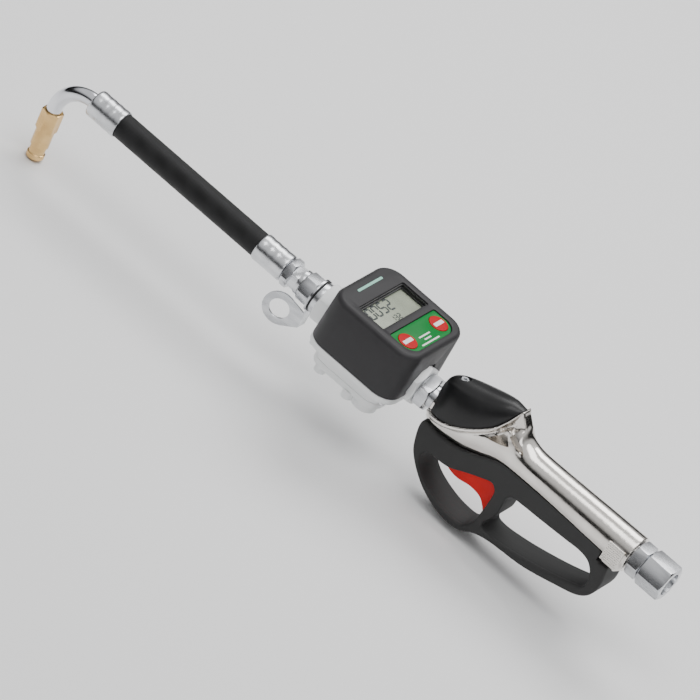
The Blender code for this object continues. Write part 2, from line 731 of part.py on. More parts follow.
def make_valve():
    """Seat, poppet with its stem, spring, cap and stem seal."""
    at = valve_at()
    part("valve_seat", "brass", ring(CHAMBER_R - GAP, SEAT_BORE_R, SEAT_TOP_Z - SEAT_THICK,
                                     SEAT_TOP_Z, "Z", at))
    low = SEAT_TOP_Z + GAP
    top = low + POPPET_THICK
    stem = [(0, top + 3 * MM), (1.8 * MM, top + 3 * MM), (1.8 * MM, top), (POPPET_R, top),
            (POPPET_R, low), (STEM_R, low), (STEM_R, STEM_END_Z + 1 * MM),
            (STEM_R * 0.5, STEM_END_Z), (0, STEM_END_Z)]
    part("valve_stem", "steel", turned(stem, "Z", at, SMALL_SEGMENTS))
    cap_bottom = CHAMBER_TOP_Z - CAP_DEPTH
    part("valve_spring", "steel", coil(SPRING_R, SPRING_WIRE_R, top + GAP, cap_bottom - GAP,
                                       SPRING_TURNS, at))
    cap = hexagon(CAP_HEX, CHAMBER_TOP_Z + GAP, CHAMBER_TOP_Z + 6 * MM, "Z", at)
    add(cap, rod(CHAMBER_R - GAP, cap_bottom, CHAMBER_TOP_Z + 2 * MM, "Z", at))
    part("valve_cap", "brass", cap)
    part("stem_seal", "rubber", ring(STEM_R * 2 - GAP, STEM_R + GAP, HEAD_BOTTOM_Z + 0.4 * MM,
                                     HEAD_BOTTOM_Z + 3.0 * MM, "Z", at, SMALL_SEGMENTS))


# --- guard and trigger --------------------------------------------------------------------

def points_mm(*pairs, shift=0.0):
    """Turn pairs in millimetres into metres, moved along X by shift."""
    return [(x * MM + shift, z * MM) for x, z in pairs]


def tail_points(*pairs):
    """Place pairs in millimetres measured from the guard's tail."""
    return points_mm(*pairs, shift=GUARD_TAIL_X)


def guard_outline():
    """List the guard's outer outline, clockwise from its nose."""
    under_lug = (TUBE_AXIS_Z - LUG_DROP - GAP) / MM
    top = GUARD_TOP_Z / MM
    front = points_mm((-11.5, -13.5), (-14.1, -33.6), (-19.7, -43.5), (-37.6, -58.8),
                      (-60, -67.2), (-78, -66.6), (-88, -60.5), (-100, -57.0))
    tail = tail_points((54.5, -53.8), (26.8, -47), (9, -41.4), (1.5, -35.5), (-2.4, -25.2),
                       (-1.5, -11.8), (0.2, under_lug), (8, under_lug), (9, top - 1))
    back = points_mm((-95, top), (-78, top - 1.6), (-60, -5.5), (-42, -12), (-26, -13.6))
    return front + tail + tail_points((14, top)) + back


def front_opening():
    """List the outline of the trigger finger's opening."""
    return points_mm((-24.0, -38.5), (-27.0, -32.6), (-36, -32.0), (-47, -30.3), (-60, -24),
                     (-72, -18.6), (-81, -15.8), (-85.2, -19.5), (-86, -28), (-85.2, -42),
                     (-83.6, -53), (-78, -61), (-67, -62.2), (-52, -59.8), (-36, -53.6),
                     (-27.5, -46.5))


def rear_opening():
    """List the outline of the hand's opening."""
    front = points_mm((-92, -51), (-91.8, -45.4), (-96.2, -36), (-96.6, -27), (-96.4, -18),
                      (-99.8, -13.9), (-108, -13))
    tail = tail_points((64, -12.3), (40, -11.0), (23.6, -10.2), (15.4, -12.3), (10, -18),
                       (7.6, -25), (8.6, -32.4), (15.4, -35.8), (31.7, -41.4), (54.8, -47.4))
    return front + tail + points_mm((-117.5, -50.6), (-99, -52.6))


def make_guard():
    """Hand guard with a finger loop and a hand loop, hollowed for the trigger."""
    guard = outline_plate(guard_outline(), -GUARD_HALF_W, GUARD_HALF_W)
    bevel = guard.modifiers.new("edge", "BEVEL")
    bevel.width = GUARD_ROUND
    bevel.segments = 2
    bevel.limit_method = "ANGLE"
    bevel.angle_limit = math.radians(60)
    reach = GUARD_HALF_W + 4 * MM
    slot_front, slot_z = PIVOT_X + PIVOT_BOSS_R + 0.8 * MM, ARM_TOP_Z - 30 * MM
    slot = [(slot_front, slot_z), (-88 * MM, slot_z), (-92.3 * MM, -36 * MM),
            (-92.3 * MM, TUBE_AXIS_Z), (slot_front, TUBE_AXIS_Z)]
    lug = block((TUBE_REAR_X - 9 * MM, TUBE_REAR_X + LUG_LENGTH + GAP), (-reach, reach),
                (TUBE_AXIS_Z - LUG_DROP - GAP, TUBE_AXIS_Z + 9 * MM))
    half = TRIGGER_SLOT_HALF_W
    cut(guard, outline_plate(front_opening(), -reach, reach),
        outline_plate(rear_opening(), -reach, reach),
        body_shell(GAP), lug,
        outline_plate(slot, -half, half, smooth=False),
        rod(PIN_R + GAP, -reach, PIN_END + GAP, "Y", (PIVOT_X, PIVOT_Z), 16),
        rod(GUARD_SCREW_HEAD_R + GAP, -45 * MM, -27.4 * MM, "Z", (GUARD_SCREW_FRONT_X, 0), 16),
        rod(GUARD_SCREW_R + GAP, -45 * MM, 0, "Z", (GUARD_SCREW_FRONT_X, 0), 12),
        rod(GUARD_SCREW_HEAD_R + GAP, -25 * MM, -8.6 * MM, "Z", (GUARD_SCREW_REAR_X, 0), 16),
        rod(GUARD_SCREW_R + GAP, -25 * MM, 0, "Z", (GUARD_SCREW_REAR_X, 0), 12))
    part("guard", "black", guard)
    part("guard_screw_front", "zinc",
         screw(GUARD_SCREW_HEAD_R, 2.2 * MM, GUARD_SCREW_R, 16 * MM, "Z",
               (GUARD_SCREW_FRONT_X, 0), -29.9 * MM, -1))
    part("guard_screw_rear", "zinc",
         screw(GUARD_SCREW_HEAD_R, 1.8 * MM, GUARD_SCREW_R, 8.6 * MM, "Z",
               (GUARD_SCREW_REAR_X, 0), -10.7 * MM, -1))


def make_trigger():
    """Lever that lifts the valve stem, and the pin it turns on."""
    arm = ARM_TOP_Z / MM
    boss = [(x / MM, z / MM) for x, z in arc((PIVOT_X, PIVOT_Z), PIVOT_BOSS_R, -80, 90, 5)]
    outline = points_mm(*boss, (-43, arm), (-52, arm), (-66, -20), (-80, -18.6), (-86.5, -20.5),
                        (-89.5, -27), (-88.8, -39), (-86.4, -47), (-84.6, -46.6), (-81.6, -42.4),
                        (-76, -37.4), (-66, -35.8), (-54, -37.8), (-45, -36.4))
    lever = outline_plate(outline, -TRIGGER_HALF_W, TRIGGER_HALF_W)
    cut(lever, rod(PIN_R + GAP, -20 * MM, 20 * MM, "Y", (PIVOT_X, PIVOT_Z), 16))
    part("trigger", "red", lever)
    part("trigger_pin", "steel", rod(PIN_R, -GUARD_HALF_W + 0.6 * MM, PIN_END, "Y",
                                     (PIVOT_X, PIVOT_Z), 16))


# --- fittings -----------------------------------------------------------------------------

def make_inlet():
    """Adaptor screwed into the tube, the swivel nut that turns on it, and its seal."""
    at = (0, TUBE_AXIS_Z)
    face = TUBE_REAR_X - 0.7 * MM
    hex_end = face - INLET_HEX_LENGTH
    nut_front = hex_end - 0.5 * MM
    flange_front = nut_front - SWIVEL_WALL - GAP
    flange_end = flange_front - INLET_FLANGE_THICK
    adaptor = hexagon(INLET_HEX, hex_end, face, at=at)
    add(adaptor, rod(INLET_THREAD_R, face - 2 * MM, TUBE_REAR_X + INLET_THREAD_LENGTH, at=at),
        rod(INLET_NECK_R, flange_front - 1 * MM, hex_end + 2 * MM, at=at),
        rod(INLET_FLANGE_R, flange_end, flange_front, at=at))
    cut(adaptor, rod(FLOW_R, flange_end - 5 * MM, TUBE_REAR_X + 30 * MM, at=at,
                     segments=SMALL_SEGMENTS))
    part("inlet_adaptor", "zinc", adaptor)
    nut_end = nut_front - SWIVEL_LENGTH
    nut = hexagon(SWIVEL_HEX, nut_end, nut_front, at=at)
    cut(nut, rod(INLET_NECK_R + GAP, nut_end - 5 * MM, nut_front + 5 * MM, at=at),
        rod(SOCKET_R, nut_end - 5 * MM, nut_front - SWIVEL_WALL, at=at),
        rod(SOCKET_R, nut_end - 1 * MM, nut_end + 1.2 * MM, at=at,
            end_radius=SOCKET_R - 0.1 * MM))
    part("inlet_swivel_nut", "zinc", nut)
    part("swivel_seal", "rubber", ring(SOCKET_R - GAP, FLOW_R, flange_end - 2.1 * MM,
                                       flange_end - GAP, at=at))


def make_union():
    """Hexagon union between the gun and the meter."""
    union = hexagon(UNION_HEX, -UNION_HALF, UNION_HALF, turn=math.radians(30))
    collar_end = GUN_FRONT_X + GAP
    add(union, rod(UNION_COLLAR_R, collar_end, -UNION_HALF + 1 * MM),
        rod(UNION_THREAD_R, GUN_FRONT_X - UNION_THREAD_LENGTH, 1 * MM),
        rod(UNION_THREAD_R, -1 * MM, UNION_HALF + UNION_THREAD_LENGTH))
    cut(union, rod(FLOW_R, -60 * MM, 60 * MM, segments=SMALL_SEGMENTS))
    part("union_nut", "zinc", union)


# --- meter --------------------------------------------------------------------------------

def base_screw_places():
    """List the places of the four base cover screws."""
    half_x, half_y = METER_LENGTH / 2, METER_WIDTH / 2
    return [(METER_X + half_x - 20 * MM, half_y - 13 * MM),
            (METER_X - 7.5 * MM, half_y - 10.5 * MM),
            (METER_X + half_x - 20 * MM, 13 * MM - half_y),
            (METER_X - half_x + 20 * MM, 13 * MM - half_y)]


def lip_screw_places():
    """List the places of the four screws that hold the meter cover."""
    half_x, half_y = METER_LENGTH / 2 - 6.5 * MM, METER_WIDTH / 2 - 6.5 * MM
    return [(METER_X + side_x * half_x, side_y * half_y)
            for side_x in (1, -1) for side_y in (1, -1)]


def gear_places():
    """List the two gear axes' places."""
    return [(METER_X, GEAR_OFFSET), (METER_X, -GEAR_OFFSET)]


def base_plate_outline():
    """List the base cover's outline."""
    return rounded_rectangle((METER_X, 0), METER_LENGTH - 18 * MM, METER_WIDTH - 14 * MM,
                             METER_CORNER - 4 * MM)


def make_meter_body():
    """Cast meter body: ports, gear chamber and the lip that the cover sits on."""
    centre = (METER_X, 0)
    lip_top = METER_BASE_Z - GAP
    lip_bottom = lip_top - LIP_THICK
    body = outline_plate(rounded_rectangle(centre, METER_LENGTH, METER_WIDTH, METER_CORNER),
                         lip_bottom, lip_top, "Z", smooth=False)
    skirt = outline_plate(base_plate_outline(), CHAMBER_FLOOR_Z, lip_top - 1 * MM, "Z",
                          smooth=False)
    core = outline_plate(
        rounded_rectangle(centre, 2 * GEAR_CHAMBER_R + 8 * MM,
                          2 * (GEAR_OFFSET + GEAR_CHAMBER_R) + 6 * MM, 10 * MM),
        lip_bottom + 1 * MM, METER_CORE_TOP_Z, "Z", smooth=False)
    rear_face = UNION_HALF + GAP
    front_face = METER_X + PORT_REACH
    turn = math.radians(30)
    add(body, skirt, core, hexagon(PORT_HEX, rear_face, METER_X - 12 * MM, turn=turn),
        hexagon(PORT_HEX, METER_X + 12 * MM, front_face, turn=turn))
    for place in gear_places():
        cut(body, rod(GEAR_CHAMBER_R, CHAMBER_FLOOR_Z - 5 * MM, CHAMBER_ROOF_Z, "Z", place),
            rod(SHAFT_R + GAP, 0, CHAMBER_ROOF_Z + 2.5 * MM, "Z", place, SMALL_SEGMENTS))
    depth = UNION_THREAD_LENGTH + 1.5 * MM
    cut(body, rod(FLOW_R, rear_face - 5 * MM, front_face + 5 * MM, segments=SMALL_SEGMENTS),
        rod(UNION_THREAD_R + GAP, rear_face - 5 * MM, rear_face + depth),
        rod(NIPPLE_THREAD_R + GAP, front_face - depth, front_face + 5 * MM))
    for place in base_screw_places():
        cut(body, rod(2.3 * MM, CHAMBER_FLOOR_Z - 5 * MM, CHAMBER_FLOOR_Z + 8 * MM, "Z", place,
                      12))
    for place in lip_screw_places():
        cut(body, rod(LIP_SCREW_R + GAP, lip_bottom - 5 * MM, lip_top + 5 * MM, "Z", place, 12))
    part("meter_body", "casting", body)


def round_cap_place():
    """Return the place of the round cap under the meter."""
    return (METER_X - 18 * MM, 18.5 * MM)


def make_meter_base():
    """Base cover under the gear chamber, with its screws, seal and round cap."""
    top = CHAMBER_FLOOR_Z - GAP
    plate_bottom = top - BASE_PLATE_THICK
    base = outline_plate(base_plate_outline(), plate_bottom, top, "Z", smooth=False)
    for x, y in base_screw_places():
        add(base, rod(BASE_BOSS_R, BASE_BOTTOM_Z, plate_bottom + 1 * MM, "Z", (x, y),
                      SMALL_SEGMENTS))
        cut(base, rod(2.3 * MM, BASE_BOTTOM_Z - 5 * MM, top + 5 * MM, "Z", (x, y), 12),
            rod(3.3 * MM, BASE_BOTTOM_Z - 5 * MM, BASE_BOTTOM_Z + 2.6 * MM, "Z", (x, y), 16))
    rib_x = METER_X + 11 * MM
    add(base, block((rib_x - 8 * MM, rib_x + 8 * MM), (GEAR_OFFSET + 9 * MM, GEAR_OFFSET + 13 * MM),
                    (BASE_BOTTOM_Z + 1.5 * MM, plate_bottom + 1 * MM)))
    for place in gear_places():
        cut(base, rod(SHAFT_R + GAP, top - 3 * MM, top + 5 * MM, "Z", place, SMALL_SEGMENTS))
    groove = seal_ring(1.6 * MM, top - 1.4 * MM, top + 5 * MM, 0.0)
    cut(base, groove, rod(ROUND_CAP_R - 2.2 * MM, plate_bottom - 5 * MM, top - 1.6 * MM, "Z",
                          round_cap_place(), SMALL_SEGMENTS))
    part("meter_base_cover", "casting", base)
    part("chamber_seal", "rubber", seal_ring(1.0 * MM, top - 1.1 * MM, top - 0.1 * MM, 0.3 * MM))
    cap = rod(ROUND_CAP_R, ROUND_CAP_BOTTOM_Z, plate_bottom - GAP, "Z", round_cap_place())
    add(cap, rod(ROUND_CAP_R - 2.5 * MM, plate_bottom - 1 * MM, top - 2 * MM, "Z",
                 round_cap_place(), SMALL_SEGMENTS))
    part("base_cap", "casting", cap)
    for number, place in enumerate(base_screw_places(), 1):
        part(f"base_screw_{number}", "zinc",
             screw(3.0 * MM, 2.0 * MM, 2.0 * MM, 14 * MM, "Z", place, BASE_BOTTOM_Z + 0.3 * MM,
                   -1))


def seal_ring(width, low, high, inset):
    """Make the racetrack ring that runs round both gear chambers."""
    inner = GEAR_CHAMBER_R + 0.9 * MM + inset

    def track(radius):
        return (arc((METER_X, GEAR_OFFSET), radius, 0, 180, 13)
                + arc((METER_X, -GEAR_OFFSET), radius, 180, 360, 13))

    return outline_plate(track(inner + width), low, high, "Z", smooth=False,
                         holes=(track(inner),))


def gear_outline(place, phase):
    """List a spur gear's outline: straight-sided teeth with backlash."""
    pitch = 2 * math.pi / GEAR_TEETH
    mean = math.pi * GEAR_OFFSET / GEAR_TEETH - GEAR_BACKLASH
    lean = math.tan(math.radians(24))
    points = []
    for tooth in range(GEAR_TEETH):
        middle = tooth * pitch + phase
        for side, heights in ((-1, (-GEAR_DEDENDUM, 0, GEAR_ADDENDUM)),
                              (1, (GEAR_ADDENDUM, 0, -GEAR_DEDENDUM))):
            for height in heights:
                radius = GEAR_OFFSET + height
                width = mean - 2 * lean * height
                if height < 0:
                    width = min(width, 0.86 * pitch * radius)
                angle = middle + side * width / 2 / radius
                points.append((place[0] + radius * math.cos(angle),
                               place[1] + radius * math.sin(angle)))
    return points


def make_meter_gears():
    """Pair of measuring gears on fixed shafts, with the sensor's magnet in one of them."""
    low, high = CHAMBER_FLOOR_Z + 1 * MM, CHAMBER_ROOF_Z - 0.8 * MM
    phases = (math.radians(-90), math.radians(90 + 180 / GEAR_TEETH))
    for name, place, phase in zip(("drive_gear", "driven_gear"), gear_places(), phases):
        gear = outline_plate(gear_outline(place, phase), low, high, "Z", smooth=False)
        cut(gear, rod(SHAFT_R + GAP, low - 5 * MM, high + 5 * MM, "Z", place, SMALL_SEGMENTS))
        part(name, "plastic", gear)
    top, bottom = CHAMBER_ROOF_Z + 2.2 * MM, CHAMBER_FLOOR_Z - 2.8 * MM
    for name, place in zip(("drive_shaft", "driven_shaft"), gear_places()):
        part(name, "steel", rod(SHAFT_R, bottom, top, "Z", place, SMALL_SEGMENTS))


def cover_rings(inset, low, high):
    """List the meter cover's sections between two heights, inset from its surface."""
    edge = 0 if inset else METER_EDGE
    levels = [(METER_BASE_Z, 0.0, METER_CORNER), (METER_TOP_Z - METER_EDGE, 1.0, METER_CORNER),
              (METER_TOP_Z - 0.3 * METER_EDGE, 1.0, METER_CORNER - 0.3 * edge),
              (METER_TOP_Z, 1.0, METER_CORNER - edge)]
    chamfers = (0, 0, 0.3 * edge, edge)
    rings = []
    for (z, share, corner), chamfer in zip(levels, chamfers):
        length = METER_LENGTH - 2 * (METER_DRAFT * share + chamfer + inset)
        width = METER_WIDTH - 2 * (METER_DRAFT * share + chamfer + inset)
        height = np.interp(z, (METER_BASE_Z, METER_TOP_Z), (low, high))
        outline = rounded_rectangle((METER_X, 0), length, width, corner - inset, 6)
        rings.append([(x, y, float(height)) for x, y in outline])
    return rings


def make_meter_cover():
    """Moulded cover over the electronics, arched over both ports."""
    cover = loft(cover_rings(0, METER_BASE_Z, METER_TOP_Z))
    roof = METER_TOP_Z - COVER_ROOF
    cavity = loft(cover_rings(COVER_WALL, METER_BASE_Z - 3 * MM, roof))
    floor = METER_TOP_Z - KEYPAD_SUNK - KEYPAD_THICK - GAP
    cut(cover, cavity, rod(PORT_HEX / math.sqrt(3) + 0.5 * MM, -40 * MM, 250 * MM),
        outline_plate(rounded_rectangle((LCD_X, 0), LCD_LENGTH, LCD_WIDTH, 2 * MM, 3),
                      roof - 5 * MM, METER_TOP_Z + 5 * MM, "Z", smooth=False),
        outline_plate(keypad_outline(GAP), floor, METER_TOP_Z + 5 * MM, "Z", smooth=False))
    for side in (1, -1):
        cut(cover, rod(BUTTON_R + GAP, roof - 5 * MM, METER_TOP_Z, "Z",
                       (KEYPAD_X, side * BUTTON_Y), SMALL_SEGMENTS))
    for place in lip_screw_places():
        add(cover, rod(LIP_SCREW_R + 1.7 * MM, METER_BASE_Z, METER_BASE_Z + 16 * MM, "Z", place,
                       12))
        cut(cover, rod(LIP_SCREW_R + GAP, METER_BASE_Z - 5 * MM, METER_BASE_Z + 12 * MM, "Z",
                       place, 12))
    part("meter_cover", "charcoal", cover)
    for number, place in enumerate(lip_screw_places(), 1):
        part(f"lip_screw_{number}", "zinc",
             screw(2.4 * MM, 1.8 * MM, LIP_SCREW_R, 14 * MM, "Z", place,
                   METER_BASE_Z - LIP_THICK - 2 * GAP - 1.8 * MM, -1))


def keypad_outline(grow=0.0):
    """List the keypad's outline: square to the display, round at the back."""
    half_x, half_y = KEYPAD_LENGTH / 2 + grow, KEYPAD_WIDTH / 2 + grow
    front, back = 2.0 * MM, 11.0 * MM
    points = []
    for quarter, (side_x, side_y, corner) in enumerate(
            ((1, 1, front), (-1, 1, back), (-1, -1, back), (1, -1, front))):
        middle = (KEYPAD_X + side_x * (half_x - corner), side_y * (half_y - corner))
        points += arc(middle, corner, quarter * 90, quarter * 90 + 90, 6)
    return points


def make_display():
    """Window, display, keypad, buttons, board and battery."""
    roof = METER_TOP_Z - COVER_ROOF
    window = outline_plate(
        rounded_rectangle((LCD_X, 0), LCD_LENGTH + 4 * MM, LCD_WIDTH + 3 * MM, 2 * MM, 3),
        roof - 1.5 * MM, roof - GAP, "Z", smooth=False)
    part("lcd_window", "glass", window)
    part("lcd_module", "lcd",
         block((LCD_X - LCD_LENGTH / 2 - 1 * MM, LCD_X + LCD_LENGTH / 2 + 1 * MM),
               (-LCD_WIDTH / 2 - 0.5 * MM, LCD_WIDTH / 2 + 0.5 * MM),
               (BOARD_Z + BOARD_THICK + GAP, roof - 1.8 * MM)))
    board = outline_plate(rounded_rectangle((METER_X, 0), METER_LENGTH - 18 * MM,
                                            METER_WIDTH - 34 * MM, 5 * MM, 3),
                          BOARD_Z, BOARD_Z + BOARD_THICK, "Z", smooth=False)
    part("circuit_board", "board", board)
    part("battery", "battery",
         rod(BATTERY_R, -BATTERY_LENGTH / 2, BATTERY_LENGTH / 2, "Y",
             (METER_X, METER_CORE_TOP_Z + BATTERY_R + 0.6 * MM), SMALL_SEGMENTS))
    top = METER_TOP_Z - KEYPAD_SUNK
    keypad = outline_plate(keypad_outline(), top - KEYPAD_THICK, top, "Z", smooth=False)
    for name, side in (("total_button", 1), ("reset_button", -1)):
        place = (KEYPAD_X, side * BUTTON_Y)
        cut(keypad, rod(BUTTON_R + GAP, top - 5 * MM, top + 5 * MM, "Z", place, SMALL_SEGMENTS))
        part(name, "red", rod(BUTTON_R, top + BUTTON_PROUD - BUTTON_THICK, top + BUTTON_PROUD,
                              "Z", place, SMALL_SEGMENTS))
    part("keypad", "green", keypad)


# --- outlet, hose and spout ---------------------------------------------------------------

def outlet_stack():
    """Return the x value of each joint face along the outlet, from the meter forwards."""
    port = METER_X + PORT_REACH
    hanger = port + GAP + LOCK_RING_LENGTH + GAP + GASKET_THICK + GAP
    nipple = hanger + HANGER_THICK + GAP
    coupling = nipple + NIPPLE_HEX_LENGTH + GAP
    neck = coupling + COUPLING_RING_LENGTH
    collar = neck + COUPLING_NECK_LENGTH
    ferrule = collar + COUPLING_HEX_LENGTH + GAP
    hose = ferrule + FERRULE_LENGTH
    front_ferrule = hose + HOSE_VISIBLE
    return {"port": port, "hanger": hanger, "nipple": nipple, "coupling": coupling,
            "neck": neck, "collar": collar, "ferrule": ferrule, "hose": hose,
            "front_ferrule": front_ferrule, "spout": front_ferrule + FERRULE_LENGTH}


def make_hanger(stack):
    """Lock ring, gasket and the hanger: a washer whose tab folds forward into an eye."""
    port = stack["port"] + GAP
    part("lock_ring", "zinc", ring(LOCK_RING_R, NIPPLE_THREAD_R + GAP, port,
                                   port + LOCK_RING_LENGTH))
    gasket = port + LOCK_RING_LENGTH + GAP
    part("port_gasket", "rubber", ring(HANGER_R - 0.4 * MM, NIPPLE_THREAD_R + GAP, gasket,
                                       gasket + GASKET_THICK))
    x = stack["hanger"]
    washer = rod(HANGER_R, x, x + HANGER_THICK)
    fold_y = 4.5 * MM
    reach_z = HANGER_DROP + 5.5 * MM
    tab = block((x, x + HANGER_THICK), (fold_y - 11 * MM, fold_y),
                (-reach_z, -HANGER_R + 3 * MM))
    rim = arc((HANGER_REACH, -HANGER_DROP), HANGER_EYE_R, -120, 120, 19)
    eye = outline_plate([(0.2 * MM, 8 * MM - HANGER_DROP), (0.2 * MM, -reach_z + 0.2 * MM)] + rim,
                        -HANGER_THICK - 0.1 * MM, -0.1 * MM, smooth=False)
    cut(eye, rod(HANGER_HOLE_R, -20 * MM, 20 * MM, "Y", (HANGER_REACH, -HANGER_DROP)))
    eye = baked(eye)
    eye.matrix_world = (Matrix.Translation((x, fold_y, 0)) @ Matrix.Rotation(HANGER_FOLD, 4, "Z"))
    add(washer, tab, eye)
    cut(washer, rod(NIPPLE_THREAD_R + GAP, x - 5 * MM, x + 5 * MM))
    part("hanger_ring", "zinc", washer)


def make_hose_coupling(stack):
    """Nipple in the meter's port, and the hose coupling with its tail."""
    start = stack["nipple"]
    nipple = hexagon(NIPPLE_HEX, start, start + NIPPLE_HEX_LENGTH)
    add(nipple, rod(NIPPLE_THREAD_R, stack["port"] - UNION_THREAD_LENGTH, start + 1 * MM))
    cut(nipple, rod(FLOW_R, 0, stack["spout"], segments=SMALL_SEGMENTS),
        rod(7.3 * MM, start + 4 * MM, stack["spout"], segments=SMALL_SEGMENTS))
    part("outlet_nipple", "zinc", nipple)
    coupling = hexagon(COUPLING_HEX, stack["collar"], stack["collar"] + COUPLING_HEX_LENGTH)
    add(coupling, hexagon(COUPLING_NECK_HEX, stack["neck"] - 0.2 * MM, stack["collar"] + 0.5 * MM,
                          turn=math.radians(30)),
        rod(COUPLING_RING_R, stack["coupling"], stack["neck"]),
        rod(7.0 * MM, start + 4 * MM + GAP, stack["neck"]),
        rod(TAIL_R, stack["neck"], stack["hose"] - 4 * MM))
    cut(coupling, rod(FLOW_R - 0.8 * MM, 0, stack["spout"], segments=SMALL_SEGMENTS))
    part("hose_coupling", "zinc", coupling)


def ferrule(name, closed_end, open_end):
    """Crimp sleeve over one end of the hose."""
    sign = 1 if open_end > closed_end else -1
    inner = HOSE_R + GAP
    crimp = 0.5 * MM
    profile = [(FERRULE_R - crimp, open_end), (FERRULE_R, open_end - sign * 2 * MM),
               (FERRULE_R, closed_end + sign * 2 * MM),
               (FERRULE_R - crimp - 0.6 * MM, closed_end), (TAIL_R + GAP, closed_end),
               (TAIL_R + GAP, closed_end + sign * FERRULE_END),
               (inner, closed_end + sign * FERRULE_END), (inner, open_end)]
    if sign < 0:
        profile.reverse()
    part(name, "zinc", turned(profile, closed=True))


def make_hose(stack):
    """Hose between the two ferrules."""
    ends = (stack["ferrule"] + FERRULE_END + GAP, stack["spout"] - FERRULE_END - GAP)
    part("hose", "rubber", ring(HOSE_R, HOSE_BORE_R, *ends))
    ferrule("rear_ferrule", stack["ferrule"], stack["hose"])
    ferrule("front_ferrule", stack["spout"], stack["front_ferrule"])


def spout_path(stack, start, extra):
    """List the spout's centre line: tail, bend and straight end."""
    bend_x = stack["spout"]
    points = [Vector((start, 0, 0)), Vector((bend_x, 0, 0))]
    steps = 12
    for i in range(1, steps + 1):
        angle = SPOUT_BEND * i / steps
        points.append(Vector((bend_x + SPOUT_BEND_R * math.sin(angle), 0,
                              SPOUT_BEND_R * (math.cos(angle) - 1))))
    points.append(points[-1] + nozzle_direction() * (SPOUT_STRAIGHT + extra))
    return points


def nozzle_direction():
    """Return the way the nozzle points."""
    return Vector((math.cos(SPOUT_BEND), 0, -math.sin(SPOUT_BEND)))


def make_spout(stack):
    """Bent tube whose tail is crimped in the hose."""
    start = stack["front_ferrule"] + 4 * MM
    tube = pipe(spout_path(stack, start, NOZZLE_SOCKET - GAP), SPOUT_R, 20)
    bore = pipe(spout_path(stack, start - 5 * MM, NOZZLE_SOCKET + 5 * MM), SPOUT_R - 1.6 * MM, 14)
    part("spout_tube", "steel", cut(tube, bore))


def on_nozzle(stack, tool):
    """Move a piece turned along -Z from the origin to the nozzle's axis."""
    end = spout_path(stack, 0, 0)[-1]
    turn = Vector((0, 0, -1)).rotation_difference(nozzle_direction()).to_matrix().to_4x4()
    tool = baked(tool)
    tool.matrix_world = Matrix.Translation(end) @ turn
    return tool


def make_nozzle(stack):
    """Non-drip nozzle: body, screwed tip, poppet and spring, modelled along -Z."""
    body = hexagon(NOZZLE_HEX, -NOZZLE_HEX_LENGTH, 0, "Z")
    add(body, rod(NOZZLE_R, -NOZZLE_LENGTH, -NOZZLE_HEX_LENGTH + 1 * MM, "Z"))
    cut(body, rod(SPOUT_R + GAP, -NOZZLE_SOCKET, 5 * MM, "Z", segments=SMALL_SEGMENTS),
        rod(NOZZLE_SEAT_R, -NOZZLE_LENGTH, 0, "Z", segments=SMALL_SEGMENTS),
        rod(NOZZLE_CHAMBER_R, -NOZZLE_LENGTH - 5 * MM, -NOZZLE_SEAT_AT, "Z",
            segments=SMALL_SEGMENTS))
    part("nozzle_body", "brass", on_nozzle(stack, body))
    top = -NOZZLE_LENGTH - GAP
    groove_end = top - TIP_GROOVE_LENGTH
    tip_end = groove_end - TIP_COLLAR_LENGTH
    male_top = top + TIP_MALE_LENGTH
    tip = [(TIP_MALE_R, male_top), (TIP_MALE_R, top), (TIP_GROOVE_R, top),
           (TIP_GROOVE_R, groove_end), (TIP_R, groove_end - 0.5 * MM), (TIP_R, tip_end + 1 * MM),
           (TIP_R - 1 * MM, tip_end), (MOUTH_R, tip_end), (MOUTH_R, male_top)]
    part("nozzle_tip", "brass",
         on_nozzle(stack, turned(tip, "Z", segments=24, closed=True)))
    seat = -NOZZLE_SEAT_AT - GAP
    poppet = [(0, seat), (NOZZLE_POPPET_R - 0.8 * MM, seat), (NOZZLE_POPPET_R, seat - 0.6 * MM),
              (NOZZLE_POPPET_R, seat - 1.8 * MM), (1.3 * MM, seat - 1.8 * MM),
              (1.3 * MM, seat - 5 * MM), (0, seat - 5 * MM)]
    part("nozzle_poppet", "steel", on_nozzle(stack, turned(poppet, "Z", segments=16)))
    spring = coil(NOZZLE_SPRING_R, NOZZLE_SPRING_WIRE_R, male_top + GAP, seat - 1.8 * MM - GAP, 4,
                  (0, 0))
    part("nozzle_spring", "steel", on_nozzle(stack, spring))


# --- assembly -----------------------------------------------------------------------------

def stand_on_origin():
    """Parent every part to one empty and move it so the gun stands on the origin."""
    parts = list(bpy.data.collections["oil_control_gun"].objects)
    bpy.context.view_layer.update()
    graph = bpy.context.evaluated_depsgraph_get()
    corners = []
    for piece in parts:
        evaluated = piece.evaluated_get(graph)
        corners += [evaluated.matrix_world @ vert.co for vert in evaluated.data.vertices]
    places = np.array(corners)
    low, high = places.min(axis=0), places.max(axis=0)
    root = bpy.data.objects.new("gun_frame", None)
    bpy.data.collections["oil_control_gun"].objects.link(root)
    for piece in parts + list(bpy.data.collections["tools"].objects):
        piece.parent = root
    root.location = (-(low[0] + high[0]) / 2, -(low[1] + high[1]) / 2, -low[2])


def main():
    """Build every piece."""
    clear_scene()
    new_collection("oil_control_gun")
    new_collection("tools")
    make_gun_body()
    make_top_cover()
    make_valve()
    make_guard()
    make_trigger()
    make_inlet()
    make_union()
    make_meter_body()
    make_meter_base()
    make_meter_gears()
    make_meter_cover()
    make_display()
    stack = outlet_stack()
    make_hanger(stack)
    make_hose_coupling(stack)
    make_hose(stack)
    make_spout(stack)
    make_nozzle(stack)
    stand_on_origin()


main()
